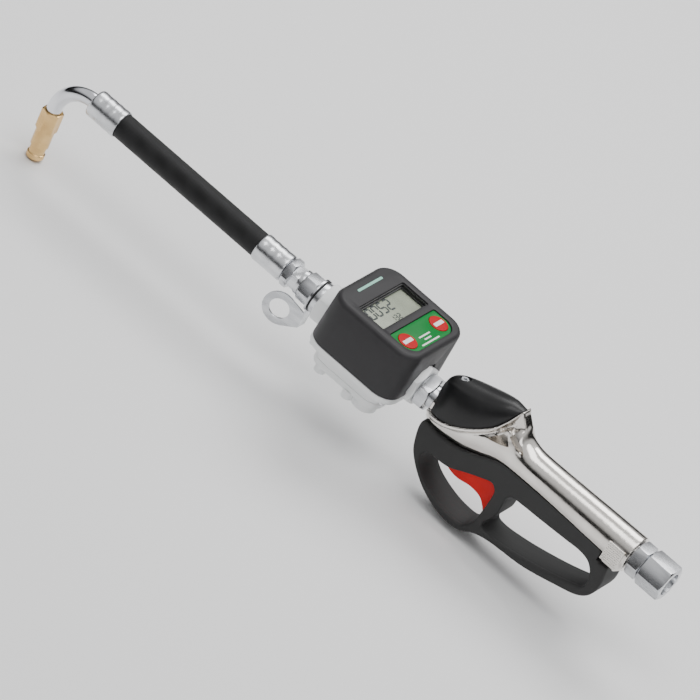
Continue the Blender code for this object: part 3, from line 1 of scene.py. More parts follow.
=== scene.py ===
"""Looks of an oil control gun with a digital in-line meter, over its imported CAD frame.

Sizes in the classes are millimetres from the datum, which is the middle of the union between
gun and meter, on the outlet axis. +X runs to the nozzle, +Y is the left side and +Z is up.
"""

from __future__ import annotations

import json
import logging
import math
from dataclasses import dataclass, field
from enum import Enum
from typing import Iterable, Sequence
import bmesh  # noqa: E402
import bpy  # noqa: E402
import numpy as np  # noqa: E402
from mathutils import Matrix, Vector  # noqa: E402


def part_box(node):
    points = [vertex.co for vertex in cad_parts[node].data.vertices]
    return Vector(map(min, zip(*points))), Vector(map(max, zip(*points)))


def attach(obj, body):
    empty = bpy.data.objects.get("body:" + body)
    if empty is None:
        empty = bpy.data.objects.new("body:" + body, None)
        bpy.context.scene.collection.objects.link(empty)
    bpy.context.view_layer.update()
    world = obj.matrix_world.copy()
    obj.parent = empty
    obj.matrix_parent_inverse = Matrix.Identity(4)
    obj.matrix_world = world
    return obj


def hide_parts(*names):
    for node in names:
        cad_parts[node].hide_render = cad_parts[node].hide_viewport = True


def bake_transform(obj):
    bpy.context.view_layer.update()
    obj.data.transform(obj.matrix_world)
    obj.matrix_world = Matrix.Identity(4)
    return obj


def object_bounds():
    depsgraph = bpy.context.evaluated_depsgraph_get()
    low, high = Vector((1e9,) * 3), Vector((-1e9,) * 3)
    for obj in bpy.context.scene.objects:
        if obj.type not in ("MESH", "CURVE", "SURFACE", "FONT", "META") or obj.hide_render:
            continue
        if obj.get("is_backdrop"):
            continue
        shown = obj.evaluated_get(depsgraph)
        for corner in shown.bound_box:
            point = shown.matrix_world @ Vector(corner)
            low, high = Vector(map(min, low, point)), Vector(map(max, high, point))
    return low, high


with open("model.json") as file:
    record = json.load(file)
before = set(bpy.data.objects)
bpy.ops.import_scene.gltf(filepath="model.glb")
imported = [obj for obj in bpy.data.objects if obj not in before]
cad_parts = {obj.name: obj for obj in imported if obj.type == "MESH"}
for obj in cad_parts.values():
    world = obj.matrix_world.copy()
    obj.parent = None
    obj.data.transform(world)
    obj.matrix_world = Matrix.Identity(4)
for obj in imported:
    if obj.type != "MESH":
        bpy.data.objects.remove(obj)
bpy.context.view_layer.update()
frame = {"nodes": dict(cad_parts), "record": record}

LOG = logging.getLogger("oil_gun")
MM = 0.001
UNION_REACH = 21.3             # from the union's rear thread end to its middle
COAT_ROUGH = 0.12
NARROW = (0.3, 0.7)            # where most values of a noise or a wave lie
WORN_EDGE = (0.515, 0.60)      # pointiness where wear starts and where it is full
PRINT_SINK = 0.02              # how far a print reaches into the face under it
GAP = 0.3                      # clearance between parts that are put together

Point = tuple[float, float]
Colour = tuple[float, float, float]
Socket = bpy.types.NodeSocket


def datum() -> Vector:
    """Return the datum in the row frame, in metres."""
    low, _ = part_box("union_nut")
    ring_low, ring_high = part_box("lock_ring")
    return Vector((low.x + UNION_REACH * MM, 0, (ring_low.z + ring_high.z) / 2))


DATUM = datum()
TO_FRAME = Matrix.Translation(DATUM) @ Matrix.Diagonal((MM, MM, MM, 1))
TUBE_AXIS = 10.5               # inlet axis above the outlet axis


# --- finishes -----------------------------------------------------------------------------

class Grain(Enum):
    """Surface patterns that a finish can carry."""

    MOULDED = "fine grain of a textured mould"
    CAST = "soft waves and pores of a painted casting"
    PLATED = "polished plating with faint orange peel"
    TURNED = "rings left by a lathe, along X"
    TURNED_UP = "rings left by a lathe, along Z"
    DRAWN = "long streaks along X of drawn tube and bar"
    WRAPPED = "cloth impression of a wrapped hose, on the piece's own UV map"
    PRINTED = "flat printed film"


@dataclass(frozen=True)
class Finish:
    """One finish: its colours, gloss and the pattern that breaks them up.

    Args:
        label: name of the material
        colour: main linear colour
        second: linear colour that the pattern mixes in
        rough: lowest and highest roughness
        metallic: 1 for bare metal
        grain: the pattern
        scale: how fine the pattern is, in cells a metre
        depth: height of the pattern's relief, in millimetres
        coat: weight of a clear coat
        edge: how much lighter worn edges are
        specular: the shader's specular level
    """

    label: str
    colour: Colour
    second: Colour
    rough: tuple[float, float]
    metallic: float = 0.0
    grain: Grain = Grain.MOULDED
    scale: float = 1500.0
    depth: float = 0.02
    coat: float = 0.0
    edge: float = 0.0
    specular: float = 0.5

    def material(self) -> bpy.types.Material:
        """Return the finish's material, made the first time it is asked for.

        Returns:
            A node material on Object coordinates, or on the UV map for a wrapped hose.
        """
        made = bpy.data.materials.get(self.label)
        if made is not None:
            return made
        material = bpy.data.materials.new(self.label)
        material.use_nodes = True
        material.diffuse_color = (*self.colour, 1.0)
        graph = Graph(material.node_tree)
        shader = graph.tree.nodes["Principled BSDF"]
        shader.inputs["Metallic"].default_value = self.metallic
        shader.inputs["Coat Weight"].default_value = self.coat
        shader.inputs["Coat Roughness"].default_value = COAT_ROUGH
        shader.inputs["Specular IOR Level"].default_value = self.specular
        pattern, broad = self.patterns(graph)
        colour = graph.mix(graph.ramp(broad, *NARROW), self.colour, self.second)
        if self.edge > 0:
            light = tuple(min(1.0, c + self.edge) for c in self.colour)
            worn = graph.ramp(graph.edges(), *WORN_EDGE)
            colour = graph.mix(worn, colour, light)
        graph.feed(shader, {"Base Color": colour, "Roughness": graph.spread(broad, *self.rough),
                            "Normal": graph.bump(pattern, self.depth * MM)})
        return material

    def patterns(self, graph: Graph) -> tuple[Socket, Socket]:
        """Make the fine relief and the broad variation.

        Args:
            graph: the material's node graph

        Returns:
            The fine pattern's socket and the broad pattern's socket.
        """
        place = graph.place(self.grain is Grain.WRAPPED)
        broad = graph.noise(place, self.scale * 0.03, 3.0)
        if self.grain in (Grain.TURNED, Grain.TURNED_UP):
            turn = (1, 0.02, 0.02) if self.grain is Grain.TURNED else (0.02, 0.02, 1)
            fine = graph.noise(graph.mapped(place, turn), self.scale, 2.0)
        elif self.grain is Grain.DRAWN:
            fine = graph.noise(graph.mapped(place, (0.03, 1, 1)), self.scale, 2.0)
            broad = graph.noise(graph.mapped(place, (0.15, 1, 1)), self.scale * 0.06, 3.0)
        elif self.grain is Grain.WRAPPED:
            weave = graph.wave(graph.mapped(place, (1, 1, 1), math.radians(28)), self.scale)
            cross = graph.wave(graph.mapped(place, (1, 1, 1), math.radians(-62)), self.scale)
            fine = graph.add(graph.scaled(weave, 0.5), cross)
            wrap = graph.wave(graph.mapped(place, (1, 1, 1), math.radians(20)),
                              self.scale * 0.05)
            broad = graph.add(graph.scaled(wrap, 0.3), graph.scaled(broad, 0.7))
        elif self.grain is Grain.CAST:
            pores = graph.noise(place, self.scale, 5.0)
            waves = graph.noise(place, self.scale * 0.12, 2.0)
            fine = graph.add(graph.scaled(pores, 0.5), waves)
        elif self.grain is Grain.PLATED:
            fine = graph.noise(place, self.scale * 0.35, 1.0)
        else:
            fine = graph.cells(place, self.scale)
        return fine, broad


class Graph:
    """Small builder of shader nodes."""

    def __init__(self, tree: bpy.types.NodeTree) -> None:
        """Keep the tree that nodes are added to."""
        self.tree = tree

    def feed(self, node: bpy.types.Node, inputs: dict) -> None:
        """Give each named or numbered input of a node its socket or its plain value."""
        for name, value in inputs.items():
            if isinstance(value, Socket):
                self.tree.links.new(value, node.inputs[name])
            else:
                node.inputs[name].default_value = value

    def node(self, kind: str, inputs: dict | None = None, **settings: str) -> bpy.types.Node:
        """Add one node.

        Args:
            kind: the node's type, without ShaderNode in front
            inputs: the socket or value that each input takes
            settings: the node's own properties

        Returns:
            The node.
        """
        node = self.tree.nodes.new(f"ShaderNode{kind}")
        for name, value in settings.items():
            setattr(node, name, value)
        self.feed(node, inputs or {})
        return node

    def place(self, own_map: bool) -> Socket:
        """Return Object coordinates, or the piece's own UV map."""
        return self.node("TexCoord").outputs["UV" if own_map else "Object"]

    def mapped(self, place: Socket, scale: Sequence[float], turn: float = 0.0) -> Socket:
        """Return coordinates scaled along each axis and turned about the third."""
        return self.node("Mapping", {"Scale": scale, "Rotation": (0, 0, turn),
                                     "Vector": place}).outputs["Vector"]

    def noise(self, place: Socket, scale: float, detail: float) -> Socket:
        """Return a noise pattern's value."""
        return self.node("TexNoise", {"Scale": scale, "Detail": detail,
                                      "Vector": place}).outputs["Fac"]

    def cells(self, place: Socket, scale: float) -> Socket:
        """Return a pebbled pattern's value."""
        return self.node("TexVoronoi", {"Scale": scale, "Vector": place},
                         feature="SMOOTH_F1").outputs["Distance"]

    def wave(self, place: Socket, scale: float) -> Socket:
        """Return parallel bands."""
        return self.node("TexWave", {"Scale": scale, "Distortion": 0.6,
                                     "Vector": place}).outputs["Fac"]

    def add(self, first: Socket, second: Socket) -> Socket:
        """Return the sum of two values."""
        return self.node("Math", {0: first, 1: second}, operation="ADD").outputs[0]

    def scaled(self, value: Socket, factor: float) -> Socket:
        """Return a value times a factor."""
        return self.node("Math", {0: value, 1: factor}, operation="MULTIPLY").outputs[0]

    def spread(self, value: Socket, low: float, high: float) -> Socket:
        """Return a pattern's usual values spread between two numbers."""
        return self.node("MapRange", {"From Min": NARROW[0], "From Max": NARROW[1],
                                      "To Min": low, "To Max": high,
                                      "Value": value}).outputs["Result"]

    def ramp(self, value: Socket, low: float, high: float) -> Socket:
        """Return 0 below low and 1 above high."""
        return self.node("MapRange", {"From Min": low, "From Max": high, "Value": value},
                         interpolation_type="SMOOTHSTEP").outputs["Result"]

    def edges(self) -> Socket:
        """Return how convex the surface is."""
        return self.node("NewGeometry").outputs["Pointiness"]

    def mix(self, factor: Socket, first: Socket | Colour, second: Colour) -> Socket:
        """Return one colour mixed with another."""
        under = first if isinstance(first, Socket) else (*first, 1.0)
        return self.node("Mix", {"Factor": factor, 6: under, 7: (*second, 1.0)},
                         data_type="RGBA").outputs[2]

    def bump(self, height: Socket, distance: float) -> Socket:
        """Return a normal disturbed by a height."""
        return self.node("Bump", {"Strength": 1.0, "Distance": distance,
                                  "Height": height}).outputs["Normal"]


NICKEL = Finish("bright_nickel", (0.82, 0.79, 0.75), (0.68, 0.65, 0.61), (0.10, 0.22), 1.0,
                Grain.PLATED, 900.0, 0.06)
ZINC = Finish("bright_zinc", (0.70, 0.71, 0.73), (0.50, 0.51, 0.53), (0.18, 0.32), 1.0,
              Grain.DRAWN, 2200.0, 0.006)
ZINC_TURNED = Finish("turned_zinc", (0.72, 0.73, 0.75), (0.56, 0.57, 0.59), (0.20, 0.32), 1.0,
                     Grain.TURNED, 2600.0, 0.006)
STEEL = Finish("ground_steel", (0.66, 0.67, 0.69), (0.55, 0.56, 0.58), (0.22, 0.34), 1.0,
               Grain.DRAWN, 2400.0, 0.003)
SPOUT_STEEL = Finish("plated_tube", (0.80, 0.81, 0.84), (0.70, 0.71, 0.74), (0.10, 0.20), 1.0,
                     Grain.PLATED, 1800.0, 0.006)
BRASS = Finish("turned_brass", (0.80, 0.54, 0.24), (0.66, 0.42, 0.17), (0.18, 0.30), 1.0,
               Grain.TURNED_UP, 2600.0, 0.006)
RUBBER = Finish("seal_rubber", (0.016, 0.016, 0.017), (0.024, 0.024, 0.024), (0.5, 0.65))
HOSE_RUBBER = Finish("wrapped_hose", (0.0075, 0.0075, 0.008), (0.014, 0.014, 0.0145),
                     (0.45, 0.62), 0.0, Grain.WRAPPED, 330.0, 0.09, specular=0.28)
NYLON = Finish("black_nylon", (0.009, 0.0095, 0.010), (0.013, 0.0135, 0.014), (0.36, 0.48),
               scale=1900.0, depth=0.03, edge=0.02, specular=0.30)
DOME_NYLON = Finish("dome_nylon", (0.010, 0.010, 0.0105), (0.013, 0.013, 0.0135), (0.30, 0.40),
                    scale=2300.0, depth=0.016, edge=0.015, specular=0.35)
CHARCOAL = Finish("charcoal_case", (0.026, 0.025, 0.027), (0.032, 0.031, 0.033), (0.44, 0.56),
                  scale=2100.0, depth=0.03, edge=0.02, specular=0.28)
BLACK_FRAME = Finish("display_frame", (0.010, 0.010, 0.011), (0.014, 0.014, 0.015),
                     (0.25, 0.35), scale=2400.0, depth=0.008)
WHITE_CAST = Finish("white_casting", (0.54, 0.545, 0.55), (0.46, 0.465, 0.47), (0.34, 0.50), 0.2,
                    Grain.CAST, 1100.0, 0.08)
TRIGGER_RED = Finish("trigger_red", (0.80, 0.003, 0.002), (0.70, 0.003, 0.002), (0.28, 0.38),
                     scale=2000.0, depth=0.014, edge=0.03, specular=0.25)
LABEL_GREEN = Finish("label_green", (0.0, 0.20, 0.036), (0.0, 0.18, 0.033), (0.40, 0.48),
                     0.0, Grain.PRINTED, 2600.0, 0.006, specular=0.15)
LABEL_RED = Finish("label_red", (0.50, 0.002, 0.006), (0.45, 0.002, 0.006), (0.36, 0.46), 0.0,
                   Grain.PRINTED, 2600.0, 0.006, specular=0.15)
PRINT_WHITE = Finish("print_white", (0.86, 0.86, 0.84), (0.80, 0.80, 0.78), (0.40, 0.50), 0.0,
                     Grain.PRINTED, 2600.0, 0.003)
PRINT_MINT = Finish("print_mint", (0.30, 0.62, 0.50), (0.26, 0.56, 0.45), (0.40, 0.50), 0.0,
                    Grain.PRINTED, 2600.0, 0.003)
DISPLAY = Finish("display_grey", (0.44, 0.48, 0.37), (0.41, 0.45, 0.345), (0.30, 0.38), 0.0,
                 Grain.PRINTED, 1500.0, 0.003)
SEGMENT = Finish("display_segment", (0.035, 0.045, 0.045), (0.05, 0.06, 0.06), (0.35, 0.45),
                 0.0, Grain.PRINTED, 1500.0, 0.003)
BOARD = Finish("board_green", (0.02, 0.16, 0.06), (0.03, 0.20, 0.08), (0.35, 0.5))
CELL_BLUE = Finish("battery_sleeve", (0.08, 0.18, 0.40), (0.10, 0.22, 0.45), (0.25, 0.35))
GEAR_WHITE = Finish("gear_plastic", (0.72, 0.72, 0.68), (0.66, 0.66, 0.62), (0.4, 0.5))

SLOT_FINISHES = {
    "nickel": NICKEL, "zinc": ZINC, "steel": STEEL, "brass": BRASS, "nozzle_brass": BRASS,
    "rubber": RUBBER, "hose_rubber": HOSE_RUBBER, "black_nylon": NYLON,
    "charcoal_plastic": CHARCOAL, "white_casting": WHITE_CAST, "red_plastic": TRIGGER_RED,
    "green_label": LABEL_GREEN, "red_button": LABEL_RED, "display": DISPLAY, "board": BOARD,
    "battery_label": CELL_BLUE, "gear_plastic": GEAR_WHITE, "spout_steel": SPOUT_STEEL,
}


def window_glass() -> bpy.types.Material:
    """Return the clear window's material, a thin tinted sheet."""
    material = bpy.data.materials.new("clear_window")
    material.use_nodes = True
    graph = Graph(material.node_tree)
    shader = graph.tree.nodes["Principled BSDF"]
    haze = graph.noise(graph.place(False), 90.0, 2.0)
    graph.feed(shader, {"Base Color": (0.10, 0.11, 0.10, 1.0),
                        "Roughness": graph.spread(haze, 0.05, 0.12),
                        "Alpha": graph.spread(haze, 0.05, 0.09)})
    return material


# --- modelling ----------------------------------------------------------------------------

def in_scene(name: str, data: bpy.types.ID) -> bpy.types.Object:
    """Make an object of a mesh, camera or light and put it in the scene."""
    item = bpy.data.objects.new(name, data)
    bpy.context.scene.collection.objects.link(item)
    return item


@dataclass
class Form:
    """A mesh in the making, in millimetres from the datum."""

    bm: bmesh.types.BMesh = field(default_factory=bmesh.new)

    @classmethod
    def box(cls, low: Sequence[float], high: Sequence[float]) -> Form:
        """Make a box between two corners."""
        form = cls()
        bmesh.ops.create_cube(form.bm, size=1.0)
        size = [b - a for a, b in zip(low, high)]
        middle = [(a + b) / 2 for a, b in zip(low, high)]
        bmesh.ops.scale(form.bm, vec=size, verts=form.bm.verts)
        bmesh.ops.translate(form.bm, vec=middle, verts=form.bm.verts)
        return form

    @classmethod
    def rod(cls, radius: float, low: Sequence[float], high: Sequence[float],
            segments: int = 64, end_radius: float | None = None) -> Form:
        """Make a round bar from one point to another.

        Args:
            radius: radius at low
            low: start of the axis
            high: end of the axis
            segments: sides of the bar
            end_radius: radius at high, when it differs

        Returns:
            The bar.
        """
        form = cls()
        start, end = Vector(low), Vector(high)
        length = (end - start).length
        bmesh.ops.create_cone(form.bm, cap_ends=True, segments=segments, radius1=radius,
                              radius2=radius if end_radius is None else end_radius,
                              depth=length)
        turn = Vector((0, 0, 1)).rotation_difference(end - start).to_matrix().to_4x4()
        form.transform(Matrix.Translation((start + end) / 2) @ turn)
        return form

    @classmethod
    def turned(cls, profile: Sequence[Point], origin: Sequence[float],
               direction: Sequence[float], segments: int = 96) -> Form:
        """Spin an (along, radius) profile about an axis.

        Args:
            profile: points of an open profile that starts and ends on the axis, or of a
                closed one whose first point is repeated at its end
            origin: where along is 0
            direction: the axis
            segments: steps of the full turn

        Returns:
            The turned solid.
        """
        form = cls()
        verts = [form.bm.verts.new((radius, 0, along)) for along, radius in profile]
        edges = [form.bm.edges.new(pair) for pair in zip(verts, verts[1:])]
        bmesh.ops.spin(form.bm, geom=verts + edges, cent=(0, 0, 0), axis=(0, 0, 1),
                       dvec=(0, 0, 0), angle=2 * math.pi, steps=segments, use_merge=True)
        bmesh.ops.remove_doubles(form.bm, verts=form.bm.verts, dist=0.0005)
        turn = Vector((0, 0, 1)).rotation_difference(Vector(direction)).to_matrix().to_4x4()
        form.transform(Matrix.Translation(origin) @ turn)
        return form.outward()

    @classmethod
    def lofted(cls, rings: Sequence[Sequence[Sequence[float]]]) -> Form:
        """Bridge rings of points into a closed skin with flat ends."""
        form = cls()
        loops = form.bridged(rings)
        for ends in (loops[0], loops[-1]):
            bmesh.ops.contextual_create(form.bm, geom=ends)
        return form.outward()

    def bridged(self, rings: Sequence[Sequence[Sequence[float]]]) -> list[list]:
        """Bridge rings of points with open ends and return each ring's edges."""
        loops = []
        for points in rings:
            verts = [self.bm.verts.new(point) for point in points]
            loops.append([self.bm.edges.new((verts[i - 1], verts[i]))
                          for i in range(len(verts))])
        for near, far in zip(loops, loops[1:]):
            bmesh.ops.bridge_loops(self.bm, edges=near + far)
        return loops

    @classmethod
    def plate(cls, outline: Sequence[Point], low: float, high: float,
              axis: str = "Y") -> Form:
        """Extrude a flat outline.

        Args:
            outline: (x, z) points for axis Y, or (x, y) points for axis Z
            low: start along the axis
            high: end along the axis
            axis: Y or Z

        Returns:
            The plate.
        """
        form = cls()
        upright = axis == "Y"
        verts = [form.bm.verts.new((a, low, b) if upright else (a, b, low))
                 for a, b in outline]
        face = form.bm.faces.new(verts)
        made = bmesh.ops.extrude_face_region(form.bm, geom=[face])
        moved = [item for item in made["geom"] if isinstance(item, bmesh.types.BMVert)]
        step = (0, high - low, 0) if upright else (0, 0, high - low)
        bmesh.ops.translate(form.bm, vec=step, verts=moved)
        return form.outward()

    @classmethod
    def from_node(cls, node: str) -> Form:
        """Copy a CAD node, merged and with its flat faces whole."""
        form = cls()
        form.bm.from_mesh(frame["nodes"][node].data)
        form.transform(TO_FRAME.inverted())
        bmesh.ops.remove_doubles(form.bm, verts=form.bm.verts, dist=0.002)
        bmesh.ops.dissolve_limit(form.bm, angle_limit=math.radians(0.6),
                                 verts=form.bm.verts, edges=form.bm.edges)
        return form

    def transform(self, matrix: Matrix) -> Form:
        """Move the whole form."""
        bmesh.ops.transform(self.bm, matrix=matrix, verts=self.bm.verts)
        return self

    def outward(self) -> Form:
        """Point every face outwards."""
        bmesh.ops.recalc_face_normals(self.bm, faces=self.bm.faces)
        return self

    def bevelled(self, width: float, segments: int = 3, sharper: float = 30.0,
                 only: Iterable[bmesh.types.BMEdge] | None = None) -> Form:
        """Round the edges.

        Args:
            width: size of the rounding
            segments: faces across the rounding
            sharper: only edges that turn more than this many degrees
            only: these edges alone

        Returns:
            The form itself.
        """
        edges = list(only) if only is not None else [
            edge for edge in self.bm.edges
            if len(edge.link_faces) == 2
            and edge.calc_face_angle(0.0) > math.radians(sharper)]
        bmesh.ops.bevel(self.bm, geom=edges, offset=width, offset_type="OFFSET",
                        affect="EDGES", segments=segments, profile=0.5, material=-1,
                        clamp_overlap=True)
        return self

    def merged(self, *others: Form) -> Form:
        """Take other forms in as loose shells of this one."""
        for other in others:
            mesh = other.mesh("loose")
            self.bm.from_mesh(mesh)
            bpy.data.meshes.remove(mesh)
        return self

    def modified(self, add: Iterable[tuple[str, dict]],
                 tools: Sequence[Form] = ()) -> Form:
        """Run modifiers on the form and keep the result.

        Args:
            add: each modifier's kind and settings; a Boolean takes the next tool
            tools: operands of the Booleans

        Returns:
            A new form.
        """
        holder = in_scene("work", self.mesh("work"))
        spare = [in_scene("tool", tool.mesh("tool")) for tool in tools]
        queue = iter(spare)
        for kind, settings in add:
            modifier = holder.modifiers.new(kind.lower(), kind)
            if kind == "BOOLEAN":
                modifier.object = next(queue)
                modifier.solver = "EXACT"
            for key, value in settings.items():
                setattr(modifier, key, value)
        bpy.context.view_layer.update()
        graph = bpy.context.evaluated_depsgraph_get()
        result = Form()
        result.bm.from_mesh(holder.evaluated_get(graph).to_mesh())
        for item in [holder, *spare]:
            bpy.data.objects.remove(item, do_unlink=True)
        return result

    def mesh(self, name: str) -> bpy.types.Mesh:
        """Copy the form into a mesh."""
        mesh = bpy.data.meshes.new(name)
        self.bm.to_mesh(mesh)
        return mesh

    def cut(self, *tools: Form) -> Form:
        """Return the form with tools cut away."""
        return self.modified([("BOOLEAN", {"operation": "DIFFERENCE"})] * len(tools), tools)

    def fused(self, voxel: float, rounds: int) -> Form:
        """Return one soft skin round all the form's shells.

        Args:
            voxel: size of the skin's cells
            rounds: how often the skin is smoothed

        Returns:
            A new form.
        """
        return self.modified([
            ("REMESH", {"mode": "VOXEL", "voxel_size": voxel}),
            ("SMOOTH", {"factor": 0.5, "iterations": rounds}),
        ])


@dataclass
class Piece:
    """A finished form: its name, body, finish and the CAD nodes that it stands for."""

    name: str
    form: Form
    body: str
    finish: Finish
    slot: str
    stands_for: tuple[str, ...] = ()
    sharp: float = 35.0

    def place(self) -> bpy.types.Object:
        """Put the piece in the scene on its body.

        Returns:
            The piece's object, at the origin, with its place in its mesh.
        """
        self.form.transform(TO_FRAME)
        mesh = self.form.mesh(self.name)
        self.form.bm.free()
        mesh.shade_smooth()
        mesh.set_sharp_from_angle(angle=math.radians(self.sharp))
        item = in_scene(self.name, mesh)
        mesh.materials.append(self.finish.material())
        if self.body:
            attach(item, self.body)
        if self.stands_for:
            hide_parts(*self.stands_for)
        LOG.info("%s: %d faces on %s", self.name, len(mesh.polygons), self.body)
        return item


def spline(knots: Sequence[Point], steps: int = 10) -> list[Point]:
    """Run a smooth closed curve through knots.

    Args:
        knots: corner points in order
        steps: points for each stretch between knots

    Returns:
        Points of a closed Catmull-Rom curve, with centripetal spacing.
    """
    points = [Vector(knot) for knot in knots]
    count = len(points)
    result = []
    for i in range(count):
        p0, p1, p2, p3 = (points[(i + k - 1) % count] for k in range(4))
        t1 = max((p1 - p0).length, 1e-6) ** 0.5
        t2 = t1 + max((p2 - p1).length, 1e-6) ** 0.5
        t3 = t2 + max((p3 - p2).length, 1e-6) ** 0.5
        for k in range(steps):
            t = t1 + (t2 - t1) * k / steps
            a1 = p0 * ((t1 - t) / t1) + p1 * (t / t1)
            a2 = p1 * ((t2 - t) / (t2 - t1)) + p2 * ((t - t1) / (t2 - t1))
            a3 = p2 * ((t3 - t) / (t3 - t2)) + p3 * ((t - t2) / (t3 - t2))
            b1 = a1 * ((t2 - t) / t2) + a2 * (t / t2)
            b2 = a2 * ((t3 - t) / (t3 - t1)) + a3 * ((t - t1) / (t3 - t1))
            c = b1 * ((t2 - t) / (t2 - t1)) + b2 * ((t - t1) / (t2 - t1))
            result.append((c.x, c.y))
    return result


def grown(outline: Sequence[Point], by: float) -> list[Point]:
    """Offset a closed outline outwards, along the normals at its points."""
    area = sum(a[0] * b[1] - b[0] * a[1] for a, b in zip(outline, [*outline[1:], outline[0]]))
    sign = 1 if area > 0 else -1
    result = []
    for i, point in enumerate(outline):
        before, after = outline[i - 1], outline[(i + 1) % len(outline)]
        along = Vector((after[0] - before[0], after[1] - before[1])).normalized()
        result.append((point[0] + sign * along.y * by, point[1] - sign * along.x * by))
    return result


def rounded(centre: Point, length: float, width: float, corner: float,
            steps: int = 12, rear: float | None = None) -> list[Point]:
    """List the outline of a rectangle with round corners.

    Args:
        centre: its middle
        length: size along X
        width: size along Y
        corner: radius of the corners
        steps: stretches in each corner
        rear: radius of the two corners at low X, when it differs

    Returns:
        The outline's points.
    """
    points = []
    rear = corner if rear is None else rear
    for quarter, (sx, sy, radius) in enumerate(((1, 1, corner), (-1, 1, rear),
                                                (-1, -1, rear), (1, -1, corner))):
        cx = centre[0] + sx * (length / 2 - radius)
        cy = centre[1] + sy * (width / 2 - radius)
        for k in range(steps + 1):
            angle = math.radians(90 * (quarter + k / steps))
            points.append((cx + radius * math.cos(angle), cy + radius * math.sin(angle)))
    return points


# --- gun ----------------------------------------------------------------------------------

@dataclass
class Dome:
    """The moulded dome and the rim that it sits on."""

    front: float = -7.0
    length: float = 63.0
    half_width: float = 20.5
    height: float = 32.1
    rim_low: float = -3.9
    rim_curl: float = 0.0076
    rim_kick: float = 0.078
    kick_from: float = -58.0
    crown: float = 43.3
    margin: float = 1.3
    tip: float = 1.6
    nose_half: float = 5.2
    rim_thick: float = 4.2
    boss_radius: float = 12.5
    screw_x: float = -18.5
    screw_seat: float = 26.7
    ridge: float = 0.55
    screw_room: float = 4.3

    def share(self, x: float) -> float:
        """Return how far x is along the dome, 0 to 1."""
        return min(max((self.front - x) / self.length, 0.003), 0.997)

    @staticmethod
    def tear(share: float, rise: float, fall: float) -> float:
        """Return a tear-shaped curve, 1 at its highest."""
        peak = rise / (rise + fall)
        return (share / peak) ** rise * ((1 - share) / (1 - peak)) ** fall

    def rim(self, x: float) -> float:
        """Return the seat's height at x."""
        x = max(x, self.front - self.length)
        kick = max(self.kick_from - x, 0.0)
        return self.rim_low + self.rim_curl * x * x + self.rim_kick * kick * kick

    def half(self, x: float) -> float:
        """Return the dome's half width at x."""
        return self.half_width * self.tear(self.share(x), 0.45, 0.56)

    def stations(self, count: int) -> list[float]:
        """List x values along the dome, closer together at its ends."""
        shares = (1 - np.cos(np.linspace(0.06, math.pi - 0.06, count))) / 2
        return [self.front - self.length * float(share) for share in shares]

    def cover(self) -> Form:
        """Make the dome, cut round the outlet boss and the screw."""
        rings = []
        for x in self.stations(64):
            half = self.half(x)
            height = min(self.height * self.tear(self.share(x), 0.13, 0.41),
                         self.crown - self.rim(x))
            fade = max(0.0, 1 - 1.4 * self.share(x))
            ring = []
            for k in range(73):
                angle = math.pi * k / 72
                lean = math.copysign(abs(math.cos(angle)) ** 0.85, math.cos(angle))
                rise = math.sin(angle) ** 0.9
                bend = min(abs(angle - 0.95), abs(math.pi - angle - 0.95))
                swell = 1 + self.ridge * fade * math.exp(-(bend / 0.10) ** 2) / max(half, 6)
                ring.append((x, half * lean * swell, self.rim(x) + GAP + height * rise * swell))
            rings.append(ring)
        boss = Form.rod(self.boss_radius, (-40, 0, 0), (5, 0, 0))
        well = Form.rod(self.screw_room, (self.screw_x, 0, self.screw_seat),
                        (self.screw_x, 0, 60), 48)
        return Form.lofted(rings).cut(boss, well).bevelled(0.35, 2, 50.0)

    def flange(self) -> Form:
        """Make the rim under the dome."""
        rings = []
        stretch = (self.length + self.margin + self.tip) / self.length
        for station in self.stations(48):
            x = self.front + self.margin + (station - self.front) * stretch
            half = self.half(station) + self.margin
            if self.share(station) > 0.5:
                half = max(half, self.nose_half)
            top = self.rim(x)
            low = top - self.rim_thick - 3.5 * self.share(station) ** 3
            inner = max(half - 2.2, 1.0)
            rings.append([(x, -half, top), (x, 0, top), (x, half, top), (x, half, top - 2.8),
                          (x, inner, low), (x, 0, low), (x, -inner, low),
                          (x, -half, top - 2.8)])
        return Form.lofted(rings)


